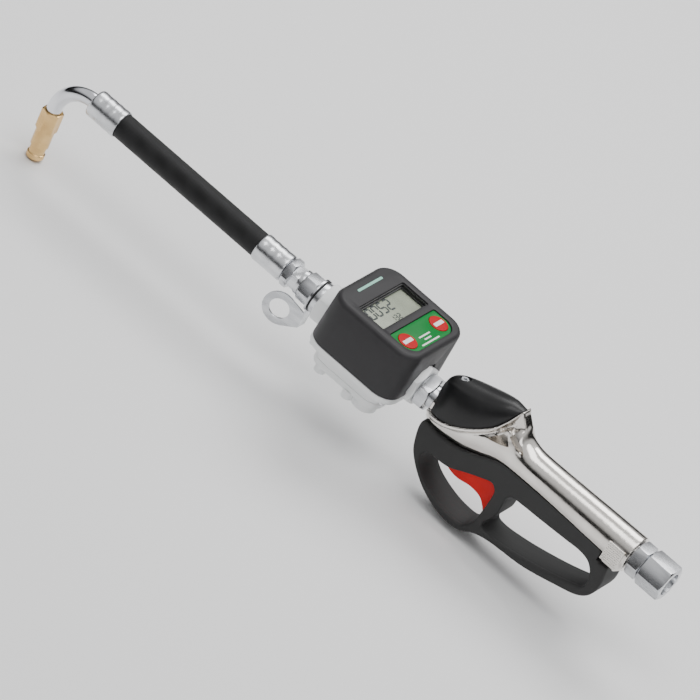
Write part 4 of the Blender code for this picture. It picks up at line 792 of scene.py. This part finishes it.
@dataclass
class Casting:
    """The plated casting: head, neck, handle tube and the lug at its end."""

    dome: Dome
    tube_front_radius: float = 14.2
    tube_rear_radius: float = 15.6
    tube_front: float = -97.3
    tube_rear: float = -197.3
    head_bottom: float = -15.5
    lug_length: float = 19.0
    lug_half: float = 16.2
    lug_drop: float = 16.0
    lug_top: float = 8.0
    mouth: float = -9.3
    boss_radius: float = 12.0
    socket_radius: float = 7.6
    web_half: float = 12.6
    nose_foot: float = 24.0
    voxel: float = 0.75

    def rows(self) -> np.ndarray:
        """List the sections: x, middle height, half width, height up, depth down."""
        tube, front, drop = TUBE_AXIS, self.tube_front_radius, -self.head_bottom
        return np.array(sorted([
            (-10.0, -4.0, 13.0, 2.5, drop - 4.5),
            (-16.0, -4.5, 15.5, 2.5, drop - 4.5),
            (-30.0, -1.0, 18.0, 2.5, drop - 1.0),
            (-45.0, 5.0, 18.5, 3.5, drop + 4.0),
            (-60.0, 12.0, 16.0, 9.0, 24.0),
            (-70.0, 13.0, 14.6, 15.5, 21.5),
            (-79.0, tube + 1.5, 14.2, 23.5, 18.0),
            (-86.0, tube, 14.1, 17.8, 15.0),
            (self.tube_front, tube, front, front + 0.3, front),
            (self.tube_front - 6, tube, front, front, front),
            (self.tube_rear, tube, self.tube_rear_radius, self.tube_rear_radius,
             self.tube_rear_radius),
        ]))

    def sections(self, xs: Sequence[float]) -> list[np.ndarray]:
        """Read smooth section values at each x, as a monotone cubic."""
        table = self.rows()
        place, values = table[:, 0], table[:, 1:]
        slopes = np.diff(values, axis=0) / np.diff(place)[:, None]
        same = slopes[1:] * slopes[:-1] > 0
        total = np.where(same, slopes[1:] + slopes[:-1], 1.0)
        tangents = np.zeros_like(values)
        tangents[1:-1] = np.where(same, 2 * slopes[1:] * slopes[:-1] / total, 0.0)
        result = []
        for x in xs:
            i = int(np.clip(np.searchsorted(place, x) - 1, 0, len(place) - 2))
            span = place[i + 1] - place[i]
            t = (x - place[i]) / span
            result.append((1 + 2 * t) * (1 - t) ** 2 * values[i]
                          + t * (1 - t) ** 2 * span * tangents[i]
                          + t * t * (3 - 2 * t) * values[i + 1]
                          - t * t * (1 - t) * span * tangents[i + 1])
        return result

    def skin(self, grow: float = 0.0, sides: int = 96) -> Form:
        """Skin the body's outer shape, grown when it is a cutter."""
        xs = [-10 - k * 1.5 for k in range(59)]
        xs += [-100 - 6.5 * k for k in range(15)] + [self.tube_rear]
        rings = []
        last = len(xs) - 1
        for i, (x, row) in enumerate(zip(xs, self.sections(xs))):
            middle, half, up, down = row
            shift = grow * 40 if i == 0 else (-grow * 40 if i == last else 0.0)
            ring = []
            for k in range(sides):
                angle = 2 * math.pi * k / sides
                rise = (up if math.sin(angle) > 0 else down) + grow
                ring.append((x + shift, (half + grow) * math.cos(angle),
                             middle + rise * math.sin(angle)))
            rings.append(ring)
        return Form.lofted(rings)

    def webs(self) -> Form:
        """Make the webs that tie the rim's tip to the neck."""
        outline = [(-55, 11), (-62, 18.5), (-67, 24.5), (-70.8, 28.8), (-73.4, 27.4),
                   (-77, 23.0), (-82, 20.6), (-88.5, 19.5), (-88, 12), (-74, 4)]
        return Form.plate(spline(outline, 6), -self.web_half, self.web_half)

    def nose(self) -> Form:
        """Make the solid wedge that carries the rim's tip on the neck."""
        half = self.dome.nose_half
        heights = [(-66.5 - 0.5 * k, self.dome.rim(-66.5 - 0.5 * k) - GAP) for k in range(11)]
        heights += [(-73.2, 41.2), (-75.0, 39.4), (-77.5, 36.6), (-80.5, 33.2), (-84.0, 29.0)]
        wide, foot = half + 1.0, self.nose_foot
        return Form.lofted([[(x, -half, top), (x, half, top), (x, wide, foot),
                             (x, -wide, foot)] for x, top in heights])

    def pockets(self) -> list[Form]:
        """Make the cutters of the pockets behind the rim and the crescents beside the neck."""
        corner = [(-60.5, 13.9), (-66.5, 21.0), (-70.6, 27.2), (-72.0, 24.6), (-74.2, 21.4),
                  (-77.0, 18.6), (-73, 16.4), (-67, 14.6)]
        crescent = [(-73.6, 25.2), (-78, 22.6), (-83, 20.8), (-89.4, 19.6), (-85.5, 23.2),
                    (-80, 26.2), (-74.8, 27.8)]
        return [Form.plate(spline(outline, 5), *sorted((side * depth, side * 24.0)))
                for outline, depth in ((corner, 6.5), (crescent, 7.8)) for side in (1, -1)]

    def lug(self) -> Form:
        """Make the block round the tube's end."""
        low = (self.tube_rear + 0.8, -self.lug_half, TUBE_AXIS - self.lug_drop)
        high = (self.tube_rear + self.lug_length, self.lug_half, TUBE_AXIS + self.lug_top)
        return Form.box(low, high).bevelled(4.0, 1)

    def body(self) -> Form:
        """Fuse the casting's parts, with soft fillets where they meet."""
        boss = Form.rod(self.boss_radius, (-37, 0, 0), (self.mouth, 0, 0), 80)
        raw = self.skin().merged(self.dome.flange(), self.webs(), self.nose(), self.lug(),
                                 boss)
        soft = raw.fused(self.voxel, 5)
        front = Form.rod(self.dome.boss_radius, (self.mouth, 0, 0), (5, 0, 0), 64)
        rear = Form.box((self.tube_rear - 6, -20, -20), (self.tube_rear, 20, 40))
        rest = soft.cut(*self.pockets(), front, rear)
        return rest.cut(Form.rod(self.socket_radius, (self.tube_rear - 5, 0, TUBE_AXIS),
                                 (self.tube_rear + 8, 0, TUBE_AXIS), 48))

    def pad(self) -> Form:
        """Make the lug's raised plate with its rows of dots."""
        x, z, y = self.tube_rear + 10.2, TUBE_AXIS - 1.2, self.lug_half
        plate = Form.box((x - 7.4, y - 0.4, z - 10.0), (x + 7.4, y + 0.25, z + 7.4))
        plate.bevelled(0.2, 2)
        across, down, radius = 1.65, 1.85, 0.62
        dots = []
        for row in range(9):
            for column in range(8):
                offset = 0.5 * (row % 2)
                centre = (x - 6.1 + (column + offset) * across, y + 0.15, z - 8.6 + row * down)
                dot = Form()
                bmesh.ops.create_uvsphere(dot.bm, u_segments=10, v_segments=6, radius=radius)
                dots.append(dot.transform(Matrix.Translation(centre)))
        return plate.merged(*dots)

    def build(self) -> None:
        """Place the casting, its pad and the dome."""
        Piece("casting", self.body(), "gun", NICKEL, "nickel", ("gun_body",), 60.0).place()
        Piece("lug_plate", self.pad(), "gun", NICKEL, "nickel").place()
        Piece("dome_cover", self.dome.cover(), "gun", DOME_NYLON, "black_nylon",
              ("top_cover",), 40.0).place()


@dataclass
class HandGuard:
    """Nylon guard with its finger loop and hand loop, and the trigger in it."""

    casting: Casting
    half_width: float = 14.0
    top: float = 4.2
    slot_half: float = 6.3
    pivot: Point = (-38.0, -26.0)
    arm_top: float = -19.3
    pin_radius: float = 2.3
    lever_half: float = 5.5
    relief_wide: float = 1.7
    relief_deep: float = 1.6
    grooves: tuple = ((-10.2, 0.8, 0.7), (-3.4, 0.45, 0.5), (3.4, 0.45, 0.5), (10.2, 0.8, 0.7))
    voxel: float = 0.75

    def tail(self, *pairs: Point) -> list[Point]:
        """Place points measured from the guard's tail."""
        return [(x + self.casting.tube_rear + 9.0, z) for x, z in pairs]

    def outer(self) -> list[Point]:
        """List the guard's outline."""
        under = TUBE_AXIS - self.casting.lug_drop - GAP
        front = [(-11.5, -13.5), (-14.1, -33.6), (-19.7, -43.5), (-37.6, -58.8), (-60, -67.2),
                 (-78, -66.6), (-88, -60.5), (-100, -57.0)]
        tail = self.tail((54.5, -53.8), (26.8, -47), (9, -41.4), (1.5, -35.5), (-2.4, -25.2),
                         (-1.5, -11.8), (0.2, under), (8, under), (9, self.top - 1),
                         (14, self.top))
        back = [(-95, self.top), (-78, self.top - 1.6), (-60, -5.5), (-42, -12), (-26, -13.6)]
        return spline(front + tail + back)

    @staticmethod
    def finger_loop() -> list[Point]:
        """List the finger opening's outline."""
        return spline([(-24.0, -38.5), (-27.0, -32.6), (-36, -32.0), (-47, -30.3), (-60, -24),
                       (-72, -18.6), (-81, -15.8), (-85.2, -19.5), (-86, -28), (-85.2, -42),
                       (-83.6, -53), (-78, -61), (-67, -62.2), (-52, -59.8), (-36, -53.6),
                       (-27.5, -46.5)])

    def hand_loop(self) -> list[Point]:
        """List the hand opening's outline."""
        front = [(-92, -51), (-91.8, -45.4), (-96.2, -36), (-96.6, -27), (-96.4, -18),
                 (-99.8, -13.9), (-108, -13)]
        tail = self.tail((64, -12.3), (40, -11.0), (23.6, -10.2), (15.4, -12.3), (10, -18),
                         (7.6, -25), (8.6, -32.4), (15.4, -35.8), (31.7, -41.4), (54.8, -47.4))
        return spline(front + tail + [(-117.5, -50.6), (-99, -52.6)])

    def body(self) -> Form:
        """Make the guard, with grooves inside its loops."""
        reach = self.half_width + 4
        guard = Form.plate(self.outer(), -self.half_width, self.half_width)
        guard.bevelled(2.6, 3, 60.0)
        tools = []
        for loop in (self.finger_loop(), self.hand_loop()):
            tools.append(Form.plate(loop, -reach, reach))
            tools += [Form.plate(grown(loop, depth), y - wide, y + wide)
                      for y, depth, wide in self.grooves]
            tools += [self.relief(loop, side) for side in (1, -1)]
        rear = self.casting.tube_rear
        lug = Form.box((rear - 9, -reach, TUBE_AXIS - self.casting.lug_drop - GAP),
                       (rear + self.casting.lug_length + GAP, reach, TUBE_AXIS + 9))
        front = self.pivot[0] + 5.8
        low = self.arm_top - 30
        slot = Form.plate([(front, low), (-88, low), (-92.3, -36), (-92.3, TUBE_AXIS),
                           (front, TUBE_AXIS)], -self.slot_half, self.slot_half)
        pin = Form.rod(self.pin_radius, (self.pivot[0], -reach, self.pivot[1]),
                       (self.pivot[0], 12.6, self.pivot[1]), 32)
        soft = guard.cut(*tools).fused(self.voxel, 4)
        return soft.cut(self.casting.skin(GAP), lug, slot, pin)

    def relief(self, loop: Sequence[Point], side: int) -> Form:
        """Make the cutter of the soft lead-in at one mouth of a loop."""
        outside = side * (self.half_width + 1)
        inside = side * (self.half_width - self.relief_deep)
        low, high = sorted((inside, outside))
        form = Form.plate(loop, low, high)
        wide = grown(loop, self.relief_wide)
        for vert in form.bm.verts:
            if abs(vert.co.y - outside) >= 0.01:
                continue
            near = min(range(len(loop)), key=lambda i: (loop[i][0] - vert.co.x) ** 2
                       + (loop[i][1] - vert.co.z) ** 2)
            vert.co.x, vert.co.z = wide[near]
        return form.outward()

    def trigger(self) -> Form:
        """Make the lever, with a crowned face for the finger."""
        x, z = self.pivot
        boss = [(x + 5 * math.cos(math.radians(a)), z + 5 * math.sin(math.radians(a)))
                for a in range(-80, 91, 17)]
        outline = boss + [(-43, self.arm_top), (-52, self.arm_top), (-66, -20), (-80, -18.6),
                          (-86.5, -20.5), (-89.5, -27), (-88.8, -39), (-86.4, -47),
                          (-84.6, -46.6), (-81.6, -42.4), (-76, -37.4), (-66, -35.8),
                          (-54, -37.8), (-45, -36.4)]
        lever = Form.plate(spline(outline, 6), -self.lever_half, self.lever_half)
        lever.bevelled(1.6, 4, 60.0)
        hole = Form.rod(self.pin_radius, (x, -20, z), (x, 20, z), 32)
        return lever.fused(0.5, 4).cut(hole)

    def build(self) -> None:
        """Place the guard and the trigger."""
        Piece("hand_guard", self.body(), "gun", NYLON, "black_nylon", ("guard",), 50.0).place()
        Piece("trigger_lever", self.trigger(), "trigger", TRIGGER_RED, "red_plastic",
              ("trigger",), 40.0).place()


# --- meter --------------------------------------------------------------------------------

SEGMENTS_ON = {"0": "abcdef", "1": "bc", "2": "abdeg", "3": "abcdg", "5": "acdfg"}


@dataclass
class Readout:
    """Figures on the display, made of seven bars each; they read towards -Y, tops to +X."""

    text: str
    centre: Point
    height: float
    width: float
    pitch: float
    bar: float
    level: float

    def bar_box(self, across: float, up: float, lying: bool) -> Form:
        """Make one bar with pointed ends round its middle.

        Args:
            across: middle along the reading direction
            up: middle along the figure's height
            lying: True for a bar along the reading direction

        Returns:
            The bar.
        """
        long = self.width / 2 - self.bar * 0.12 if lying else self.height / 4 - self.bar * 0.12
        half = self.bar / 2
        shape = [(-long, 0), (half - long, half), (long - half, half), (long, 0),
                 (long - half, -half), (half - long, -half)]
        outline = []
        for along, side in shape:
            a, u = (along, side) if lying else (side, along)
            outline.append((self.centre[0] + up + u, self.centre[1] - across - a))
        return Form.plate(outline, self.level - 0.1, self.level + 0.2, "Z")

    def form(self) -> Form:
        """Make every lit bar."""
        places = {"a": (0, 1, True), "g": (0, 0, True), "d": (0, -1, True),
                  "f": (-1, 0.5, False), "b": (1, 0.5, False), "e": (-1, -0.5, False),
                  "c": (1, -0.5, False)}
        made = Form()
        for i, figure in enumerate(self.text):
            middle = (i - (len(self.text) - 1) / 2) * self.pitch
            for name in SEGMENTS_ON[figure]:
                side, up, lying = places[name]
                made.merged(self.bar_box(middle + side * self.width / 2,
                                         up * self.height / 2, lying))
        return made


@dataclass
class Meter:
    """The meter's case, display, keypad and casting."""

    middle: float = 50.5
    side: float = 82.0
    corner: float = 16.0
    base: float = -5.0
    top: float = 37.2
    edge: float = 4.0
    draft: float = 0.6
    wall: float = 2.6
    roof: float = 3.3
    port_corner: float = 18.7
    lcd: tuple[float, float, float] = (57.4, 25.5, 63.0)
    keypad: tuple[float, float, float] = (27.7, 22.5, 62.0)
    button_y: float = 21.6
    button_radius: float = 7.8
    keypad_drop: float = 0.9
    lcd_drop: float = 1.8

    def shell(self, inset: float, low: float, high: float, edge: float) -> Form:
        """Make a rounded box that leans in a little.

        Args:
            inset: distance inside the case's outer face
            low: lower height
            high: upper height
            edge: rounding of the top edge

        Returns:
            The box.
        """
        half = self.side / 2 - inset
        form = Form.box((self.middle - half, -half, low), (self.middle + half, half, high))
        upright = [e for e in form.bm.edges
                   if abs(e.verts[0].co.z - e.verts[1].co.z) > 1]
        form.bevelled(self.corner - inset, 14, only=upright)
        for vert in form.bm.verts:
            if vert.co.z > (low + high) / 2:
                vert.co.x -= math.copysign(self.draft, vert.co.x - self.middle)
                vert.co.y -= math.copysign(self.draft, vert.co.y)
        if edge > 0:
            rim = [e for e in form.bm.edges
                   if all(v.co.z > high - 0.01 for v in e.verts)]
            form.bevelled(edge, 7, only=rim)
        return form

    def keypad_outline(self, grow: float) -> list[Point]:
        """List the keypad's outline, square to the display and round behind."""
        x, length, width = self.keypad
        return rounded((x, 0), length + 2 * grow, width + 2 * grow, 2.0, 10, 11.0)

    def button_rods(self, room: float, low: float, high: float, sides: int) -> list[Form]:
        """Make a rod at each button, wider than it by some room, from low to high."""
        x = self.keypad[0]
        return [Form.rod(self.button_radius + room, (x, side * self.button_y, low),
                         (x, side * self.button_y, high), sides) for side in (1, -1)]

    def case(self) -> Form:
        """Make the case with its display opening, keypad recess and port arches."""
        x, length, width = self.lcd
        ceiling = self.top - self.roof
        cavity = self.shell(self.wall, self.base - 4, ceiling, 0.0)
        ports = Form.rod(self.port_corner, (-30, 0, 0), (140, 0, 0), 6).bevelled(1.5, 3)
        opening = Form.plate(rounded((x, 0), length, width, 1.6), ceiling - 3, self.top + 3,
                             "Z")
        recess = Form.plate(self.keypad_outline(0.35), self.top - 2.1, self.top + 3, "Z")
        wells = self.button_rods(GAP, 28, self.top, 64)
        whole = self.shell(0.0, self.base, self.top, self.edge)
        return whole.cut(cavity, ports, opening, recess, *wells).bevelled(0.35, 2, 55.0)

    def frame(self) -> Form:
        """Make the stepped black frame inside the display opening."""
        x, length, width = self.lcd
        steps = [(0.15, self.top - 1.2), (0.9, self.top - 1.3), (1.0, self.top - 3.0),
                 (2.0, self.top - 3.1), (2.1, self.top - 4.7)]
        form = Form()
        form.bridged([[(px, py, z) for px, py in rounded(
            (x, 0), length - 2 * inset, width - 2 * inset, 1.2, 4)] for inset, z in steps])
        form.outward()
        up = sum(face.normal.z * face.calc_area() for face in form.bm.faces)
        if up < 0:
            bmesh.ops.reverse_faces(form.bm, faces=form.bm.faces)
        bmesh.ops.solidify(form.bm, geom=form.bm.faces, thickness=0.1)
        return form

    def prints(self) -> None:
        """Place the plain bars printed on the keypad, the buttons and the case."""
        x = self.keypad[0]
        level = self.top - self.keypad_drop
        lines = Form()
        for line_x, line_y, length, width in ((x - 2.3, 1.5, 15, 1.3), (x - 5.6, 1.2, 9, 1.3),
                                              (x - 9.0, 1.8, 24, 1.3)):
            lines.merged(Form.plate(rounded((line_x, line_y), width, length, 0.5, 4),
                                    level - PRINT_SINK, level + 0.06, "Z"))
        Piece("keypad_lines", lines, "gun", PRINT_WHITE, "green_label").place()
        for name, body, side in (("total_bar", "total_key", 1), ("reset_bar", "reset_key", -1)):
            bar = Form.plate(rounded((x, side * self.button_y), 3.4, 11.5, 0.6, 4),
                             level + 0.48, level + 0.57, "Z")
            Piece(name, bar, body, PRINT_WHITE, "red_button").place()
        mark = Form.plate(rounded((81.6, -1.0), 2.2, 34, 1.0, 6), self.top - PRINT_SINK,
                          self.top + 0.07, "Z")
        Piece("case_stripe", mark, "gun", PRINT_MINT, "green_label").place()

    def buttons(self) -> None:
        """Place the keypad film and the two buttons with crowned tops."""
        level = self.top - self.keypad_drop
        film = Form.plate(self.keypad_outline(0.0), level - 0.9, level, "Z")
        holes = self.button_rods(0.25, 20, 60, 72)
        Piece("keypad_film", film.cut(*holes).bevelled(0.2, 2, 50.0), "gun", LABEL_GREEN,
              "green_label", ("keypad",)).place()
        radius = self.button_radius
        profile = [(-1.9, 0), (-1.9, radius), (0.2, radius), (0.38, radius - 0.18),
                   (0.46, radius - 0.7), (0.5, radius - 2.2), (0.5, 0)]
        for name, body, side, node in (("total_cap", "total_key", 1, "total_button"),
                                       ("reset_cap", "reset_key", -1, "reset_button")):
            cap = Form.turned(profile, (self.keypad[0], side * self.button_y, level),
                              (0, 0, 1))
            Piece(name, cap, body, LABEL_RED, "red_button", (node,)).place()

    def display(self) -> None:
        """Place the display's surface, frame and figures."""
        x, length, width = self.lcd
        level = self.top - self.roof - self.lcd_drop
        sheet = Form.box((x - length / 2 - 1, -width / 2 - 0.5, level - 4.6),
                         (x + length / 2 + 1, width / 2 + 0.5, level)).bevelled(0.2, 2)
        Piece("display_panel", sheet, "gun", DISPLAY, "display", ("lcd_module",)).place()
        Piece("display_surround", self.frame(), "gun", BLACK_FRAME, "charcoal_plastic").place()
        main = Readout("0052", (62.4, 8.5), 9.8, 5.6, 8.3, 1.5, level)
        small = Readout("132", (50.4, 1.5), 4.6, 2.6, 4.2, 0.75, level)
        figures = main.form().merged(small.form())
        Piece("display_figures", figures, "gun", SEGMENT, "display").place()

    def build(self) -> None:
        """Place every piece of the meter."""
        Piece("meter_case", self.case(), "gun", CHARCOAL, "charcoal_plastic",
              ("meter_cover",), 40.0).place()
        self.buttons()
        self.prints()
        self.display()
        glass = frame["nodes"]["lcd_window"].data.materials
        glass.clear()
        glass.append(window_glass())
        for node, width in (("meter_body", 0.5), ("meter_base_cover", 0.5), ("base_cap", 0.7)):
            Piece(f"{node}_soft", Form.from_node(node).bevelled(width, 3, 30.0), "gun",
                  WHITE_CAST, "white_casting", (node,), 40.0).place()


# --- fittings, hose and spout -------------------------------------------------------------

@dataclass
class Fittings:
    """Hexagons, rings and screws that keep their CAD shape and get softened edges."""

    edge: float = 0.35
    brass_edge: float = 0.25
    sharper: float = 28.0

    def build(self) -> None:
        """Place softened copies of the plain metal nodes."""
        for node, finish, body in (
                ("union_nut", ZINC, "gun"), ("inlet_adaptor", ZINC, "gun"),
                ("inlet_swivel_nut", ZINC, "swivel_nut"), ("outlet_nipple", ZINC, "gun"),
                ("hose_coupling", ZINC, "gun"), ("lock_ring", ZINC_TURNED, "gun"),
                ("hanger_ring", ZINC, "gun")):
            form = Form.from_node(node).bevelled(self.edge, 3, self.sharper)
            Piece(f"{node}_soft", form, body, finish, "zinc", (node,), 40.0).place()
        for node in ("nozzle_body", "nozzle_tip"):
            form = Form.from_node(node).bevelled(self.brass_edge, 3, self.sharper)
            Piece(f"{node}_soft", form, "spout", BRASS, "nozzle_brass", (node,), 40.0).place()


@dataclass
class HoseLine:
    """Hose with a crimped ferrule at each end, and the bent spout."""

    rear: float = 140.4
    ferrule: float = 27.6
    visible: float = 139.8
    hose_radius: float = 10.15
    bore: float = 6.5
    ferrule_radius: float = 11.35
    ferrule_bore: float = 6.3
    ferrule_wall: float = 2.7
    crimps: tuple[float, ...] = (6.0, 12.6, 19.2)
    spout_radius: float = 6.0
    bend_radius: float = 24.7
    bend: float = 97.0
    straight: float = 10.2
    tuck: float = 14.0

    @property
    def front(self) -> float:
        """Return where the front ferrule ends and the spout starts."""
        return self.rear + 2 * self.ferrule + self.visible

    def sleeve(self, closed: float, sign: int) -> Form:
        """Make a ferrule: rounded shoulder, three crimp bands and a flared mouth."""
        r, length = self.ferrule_radius, self.ferrule
        inner, wall, bore = self.hose_radius + GAP, self.ferrule_wall, self.ferrule_bore
        profile = [(wall, bore), (0.0, bore), (0.0, r - 2.2), (0.25, r - 1.2), (0.9, r - 0.45),
                   (2.0, r - 0.05), (2.6, r)]
        for start in self.crimps:
            profile += [(start, r), (start + 0.4, r - 0.08), (start + 0.9, r - 0.12),
                        (start + 3.2, r - 0.12), (start + 3.7, r - 0.08), (start + 4.1, r)]
        profile += [(length - 1.6, r), (length - 0.6, r - 0.1), (length - 0.1, r - 0.45),
                    (length, inner + 0.1), (length - 0.4, inner), (wall, inner), (wall, bore)]
        return Form.turned(profile, (closed, 0, 0), (sign, 0, 0), 96)

    def hose(self) -> None:
        """Place the hose as one tube between the gun and the spout."""
        start, end = self.rear + self.ferrule_wall, self.front - self.ferrule_wall
        steps = [start + (end - start) * k / 90 for k in range(91)]
        r = self.hose_radius
        profile = [(x, r + 0.05 * math.sin(x * 1.9) * math.sin(x * 0.37)) for x in steps]
        profile += [(x, self.bore) for x in reversed(steps)] + [profile[0]]
        form = Form.turned(profile, (0, 0, 0), (1, 0, 0), 72)
        layer = form.bm.loops.layers.uv.new("wrap")
        for face in form.bm.faces:
            middle = face.calc_center_median()
            centre = math.atan2(middle.z, middle.y)
            for loop in face.loops:
                angle = math.atan2(loop.vert.co.z, loop.vert.co.y)
                while angle - centre > math.pi:
                    angle -= 2 * math.pi
                while centre - angle > math.pi:
                    angle += 2 * math.pi
                loop[layer].uv = (loop.vert.co.x * MM, angle * r * MM)
        item = Piece("hose_tube", form, "", HOSE_RUBBER, "hose_rubber", (), 40.0).place()
        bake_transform(item)
        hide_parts("hose")

    def spout(self) -> Form:
        """Make the tube: a circle pushed along, spun round the bend and pushed on."""
        form = Form()
        bmesh.ops.create_circle(form.bm, cap_ends=True, segments=48, radius=self.spout_radius)
        form.transform(Matrix.Translation((self.front - self.tuck, 0, 0))
                       @ Matrix.Rotation(math.radians(90), 4, "Y"))
        edges = self.pushed(form, list(form.bm.edges), (self.tuck, 0, 0))
        spun = bmesh.ops.spin(form.bm, geom=edges, cent=(self.front, 0, -self.bend_radius),
                              axis=(0, 1, 0), dvec=(0, 0, 0), angle=math.radians(self.bend),
                              steps=48, use_merge=False)
        last = [g for g in spun["geom_last"] if isinstance(g, bmesh.types.BMEdge)]
        turn = math.radians(self.bend)
        step = Vector((math.cos(turn), 0, -math.sin(turn))) * self.straight
        final = self.pushed(form, last, step)
        bmesh.ops.contextual_create(form.bm, geom=final)
        bmesh.ops.remove_doubles(form.bm, verts=form.bm.verts, dist=0.001)
        return form.outward()

    @staticmethod
    def pushed(form: Form, edges: list[bmesh.types.BMEdge],
               step: Sequence[float]) -> list[bmesh.types.BMEdge]:
        """Extrude edges by a step and return the new far edges."""
        made = bmesh.ops.extrude_edge_only(form.bm, edges=edges)["geom"]
        verts = [g for g in made if isinstance(g, bmesh.types.BMVert)]
        bmesh.ops.translate(form.bm, vec=step, verts=verts)
        chosen = set(verts)
        return [g for g in made if isinstance(g, bmesh.types.BMEdge)
                and all(v in chosen for v in g.verts)]

    def build(self) -> None:
        """Place the hose, its ferrules and the spout."""
        self.hose()
        Piece("rear_sleeve", self.sleeve(self.rear, 1), "gun", ZINC_TURNED, "zinc",
              ("rear_ferrule",), 50.0).place()
        Piece("front_sleeve", self.sleeve(self.front, -1), "spout", ZINC_TURNED, "zinc",
              ("front_ferrule",), 50.0).place()
        Piece("spout_bend", self.spout(), "spout", SPOUT_STEEL, "spout_steel",
              ("spout_tube",), 50.0).place()


# --- setting ------------------------------------------------------------------------------

@dataclass
class Studio:
    """Camera, floor, world and lamps; the floor's and the lamps' sizes are in metres."""

    view_width: float = 511.0
    shift: Point = (57.159, 31.536)
    aim_height: float = -1.2
    lens: float = 600.0
    floor_half: float = 6.0
    floor_drop: float = 0.0005
    right: tuple[float, float, float] = (-0.7327, -0.5209, 0.4380)
    up: tuple[float, float, float] = (0.6369, -0.2978, 0.7111)
    back: tuple[float, float, float] = (-0.2400, 0.8000, 0.5500)

    def camera(self) -> None:
        """Make the camera."""
        data = bpy.data.cameras.new("camera")
        data.lens = self.lens
        data.sensor_width = 36.0
        camera = in_scene("camera", data)
        u, v, n = Vector(self.right), Vector(self.up), Vector(self.back)
        away = self.view_width * MM * self.lens / data.sensor_width
        aim = TO_FRAME @ Vector((0, 0, self.aim_height))
        centre = aim - u * (self.shift[0] * MM) + v * (self.shift[1] * MM)
        turn = Matrix((u, v, n)).transposed().to_4x4()
        camera.matrix_world = Matrix.Translation(centre + n * away) @ turn
        data.clip_start, data.clip_end = 0.05, 60.0
        bpy.context.scene.camera = camera

    def floor(self) -> None:
        """Make the pale floor."""
        form = Form()
        bmesh.ops.create_grid(form.bm, x_segments=1, y_segments=1,
                              size=self.floor_half)
        mesh = form.mesh("floor")
        item = in_scene("floor", mesh)
        item.location.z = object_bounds()[0].z - self.floor_drop
        pale = Finish("pale_floor", (0.93, 0.93, 0.93), (0.915, 0.915, 0.915), (0.8, 0.9), 0.0,
                      Grain.CAST, 6.0, 0.0)
        mesh.materials.append(pale.material())
        item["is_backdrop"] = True

    def world(self) -> None:
        """Make a white world with a dark band low round the horizon, as studio flags give."""
        world = bpy.data.worlds.new("studio")
        world.use_nodes = True
        bpy.context.scene.world = world
        graph = Graph(world.node_tree)
        place = graph.node("TexCoord").outputs["Generated"]
        split = graph.node("SeparateXYZ", {"Vector": place})
        ramp = graph.node("ValToRGB", {"Fac": split.outputs["Z"]})
        stops = ramp.color_ramp.elements
        stops[0].position, stops[0].color = 0.0, (0.015, 0.015, 0.016, 1)
        stops[1].position, stops[1].color = 1.0, (1, 1, 1, 1)
        for position, grey in ((0.30, 0.02), (0.44, 0.55), (0.60, 0.95)):
            stop = stops.new(position)
            stop.color = (grey, grey, grey * 1.01, 1)
        graph.feed(graph.tree.nodes["Background"],
                   {"Strength": 0.8, "Color": ramp.outputs["Color"]})

    @staticmethod
    def lamp(name: str, place: Sequence[float], size: float, power: float) -> None:
        """Make one soft lamp that faces the gun."""
        data = bpy.data.lights.new(name, "AREA")
        data.shape = "RECTANGLE"
        data.size, data.size_y = size, size * 0.6
        data.energy = power
        lamp = in_scene(name, data)
        lamp.location = place
        aim = Vector((0, 0, 0.06)) - Vector(place)
        lamp.rotation_mode = "QUATERNION"
        lamp.rotation_quaternion = aim.to_track_quat("-Z", "Y")

    def build(self) -> None:
        """Make everything round the gun."""
        self.camera()
        self.floor()
        self.world()
        self.lamp("key", (0.25, -1.0, 1.6), 1.5, 22.0)
        self.lamp("top", (-0.3, 0.35, 1.9), 1.6, 16.0)
        self.lamp("fill", (-1.5, 1.3, 0.9), 0.8, 3.0)


def dress_nodes() -> None:
    """Give every CAD node that still shows the finish of its slot."""
    for part in frame["record"]["subparts"]:
        item = frame["nodes"][part["node"]]
        finish = SLOT_FINISHES.get(part["material_slot"])
        if finish is None or item.hide_render:
            continue
        item.data.materials.clear()
        item.data.materials.append(finish.material())


def main() -> None:
    """Build the gun from its inlet to its nozzle, then the studio."""
    logging.basicConfig(level=logging.INFO, format="%(name)s %(message)s")
    casting = Casting(Dome())
    casting.build()
    HandGuard(casting).build()
    Meter().build()
    Fittings().build()
    HoseLine().build()
    dress_nodes()
    Studio().build()
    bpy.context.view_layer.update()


if __name__ == "__main__":
    main()
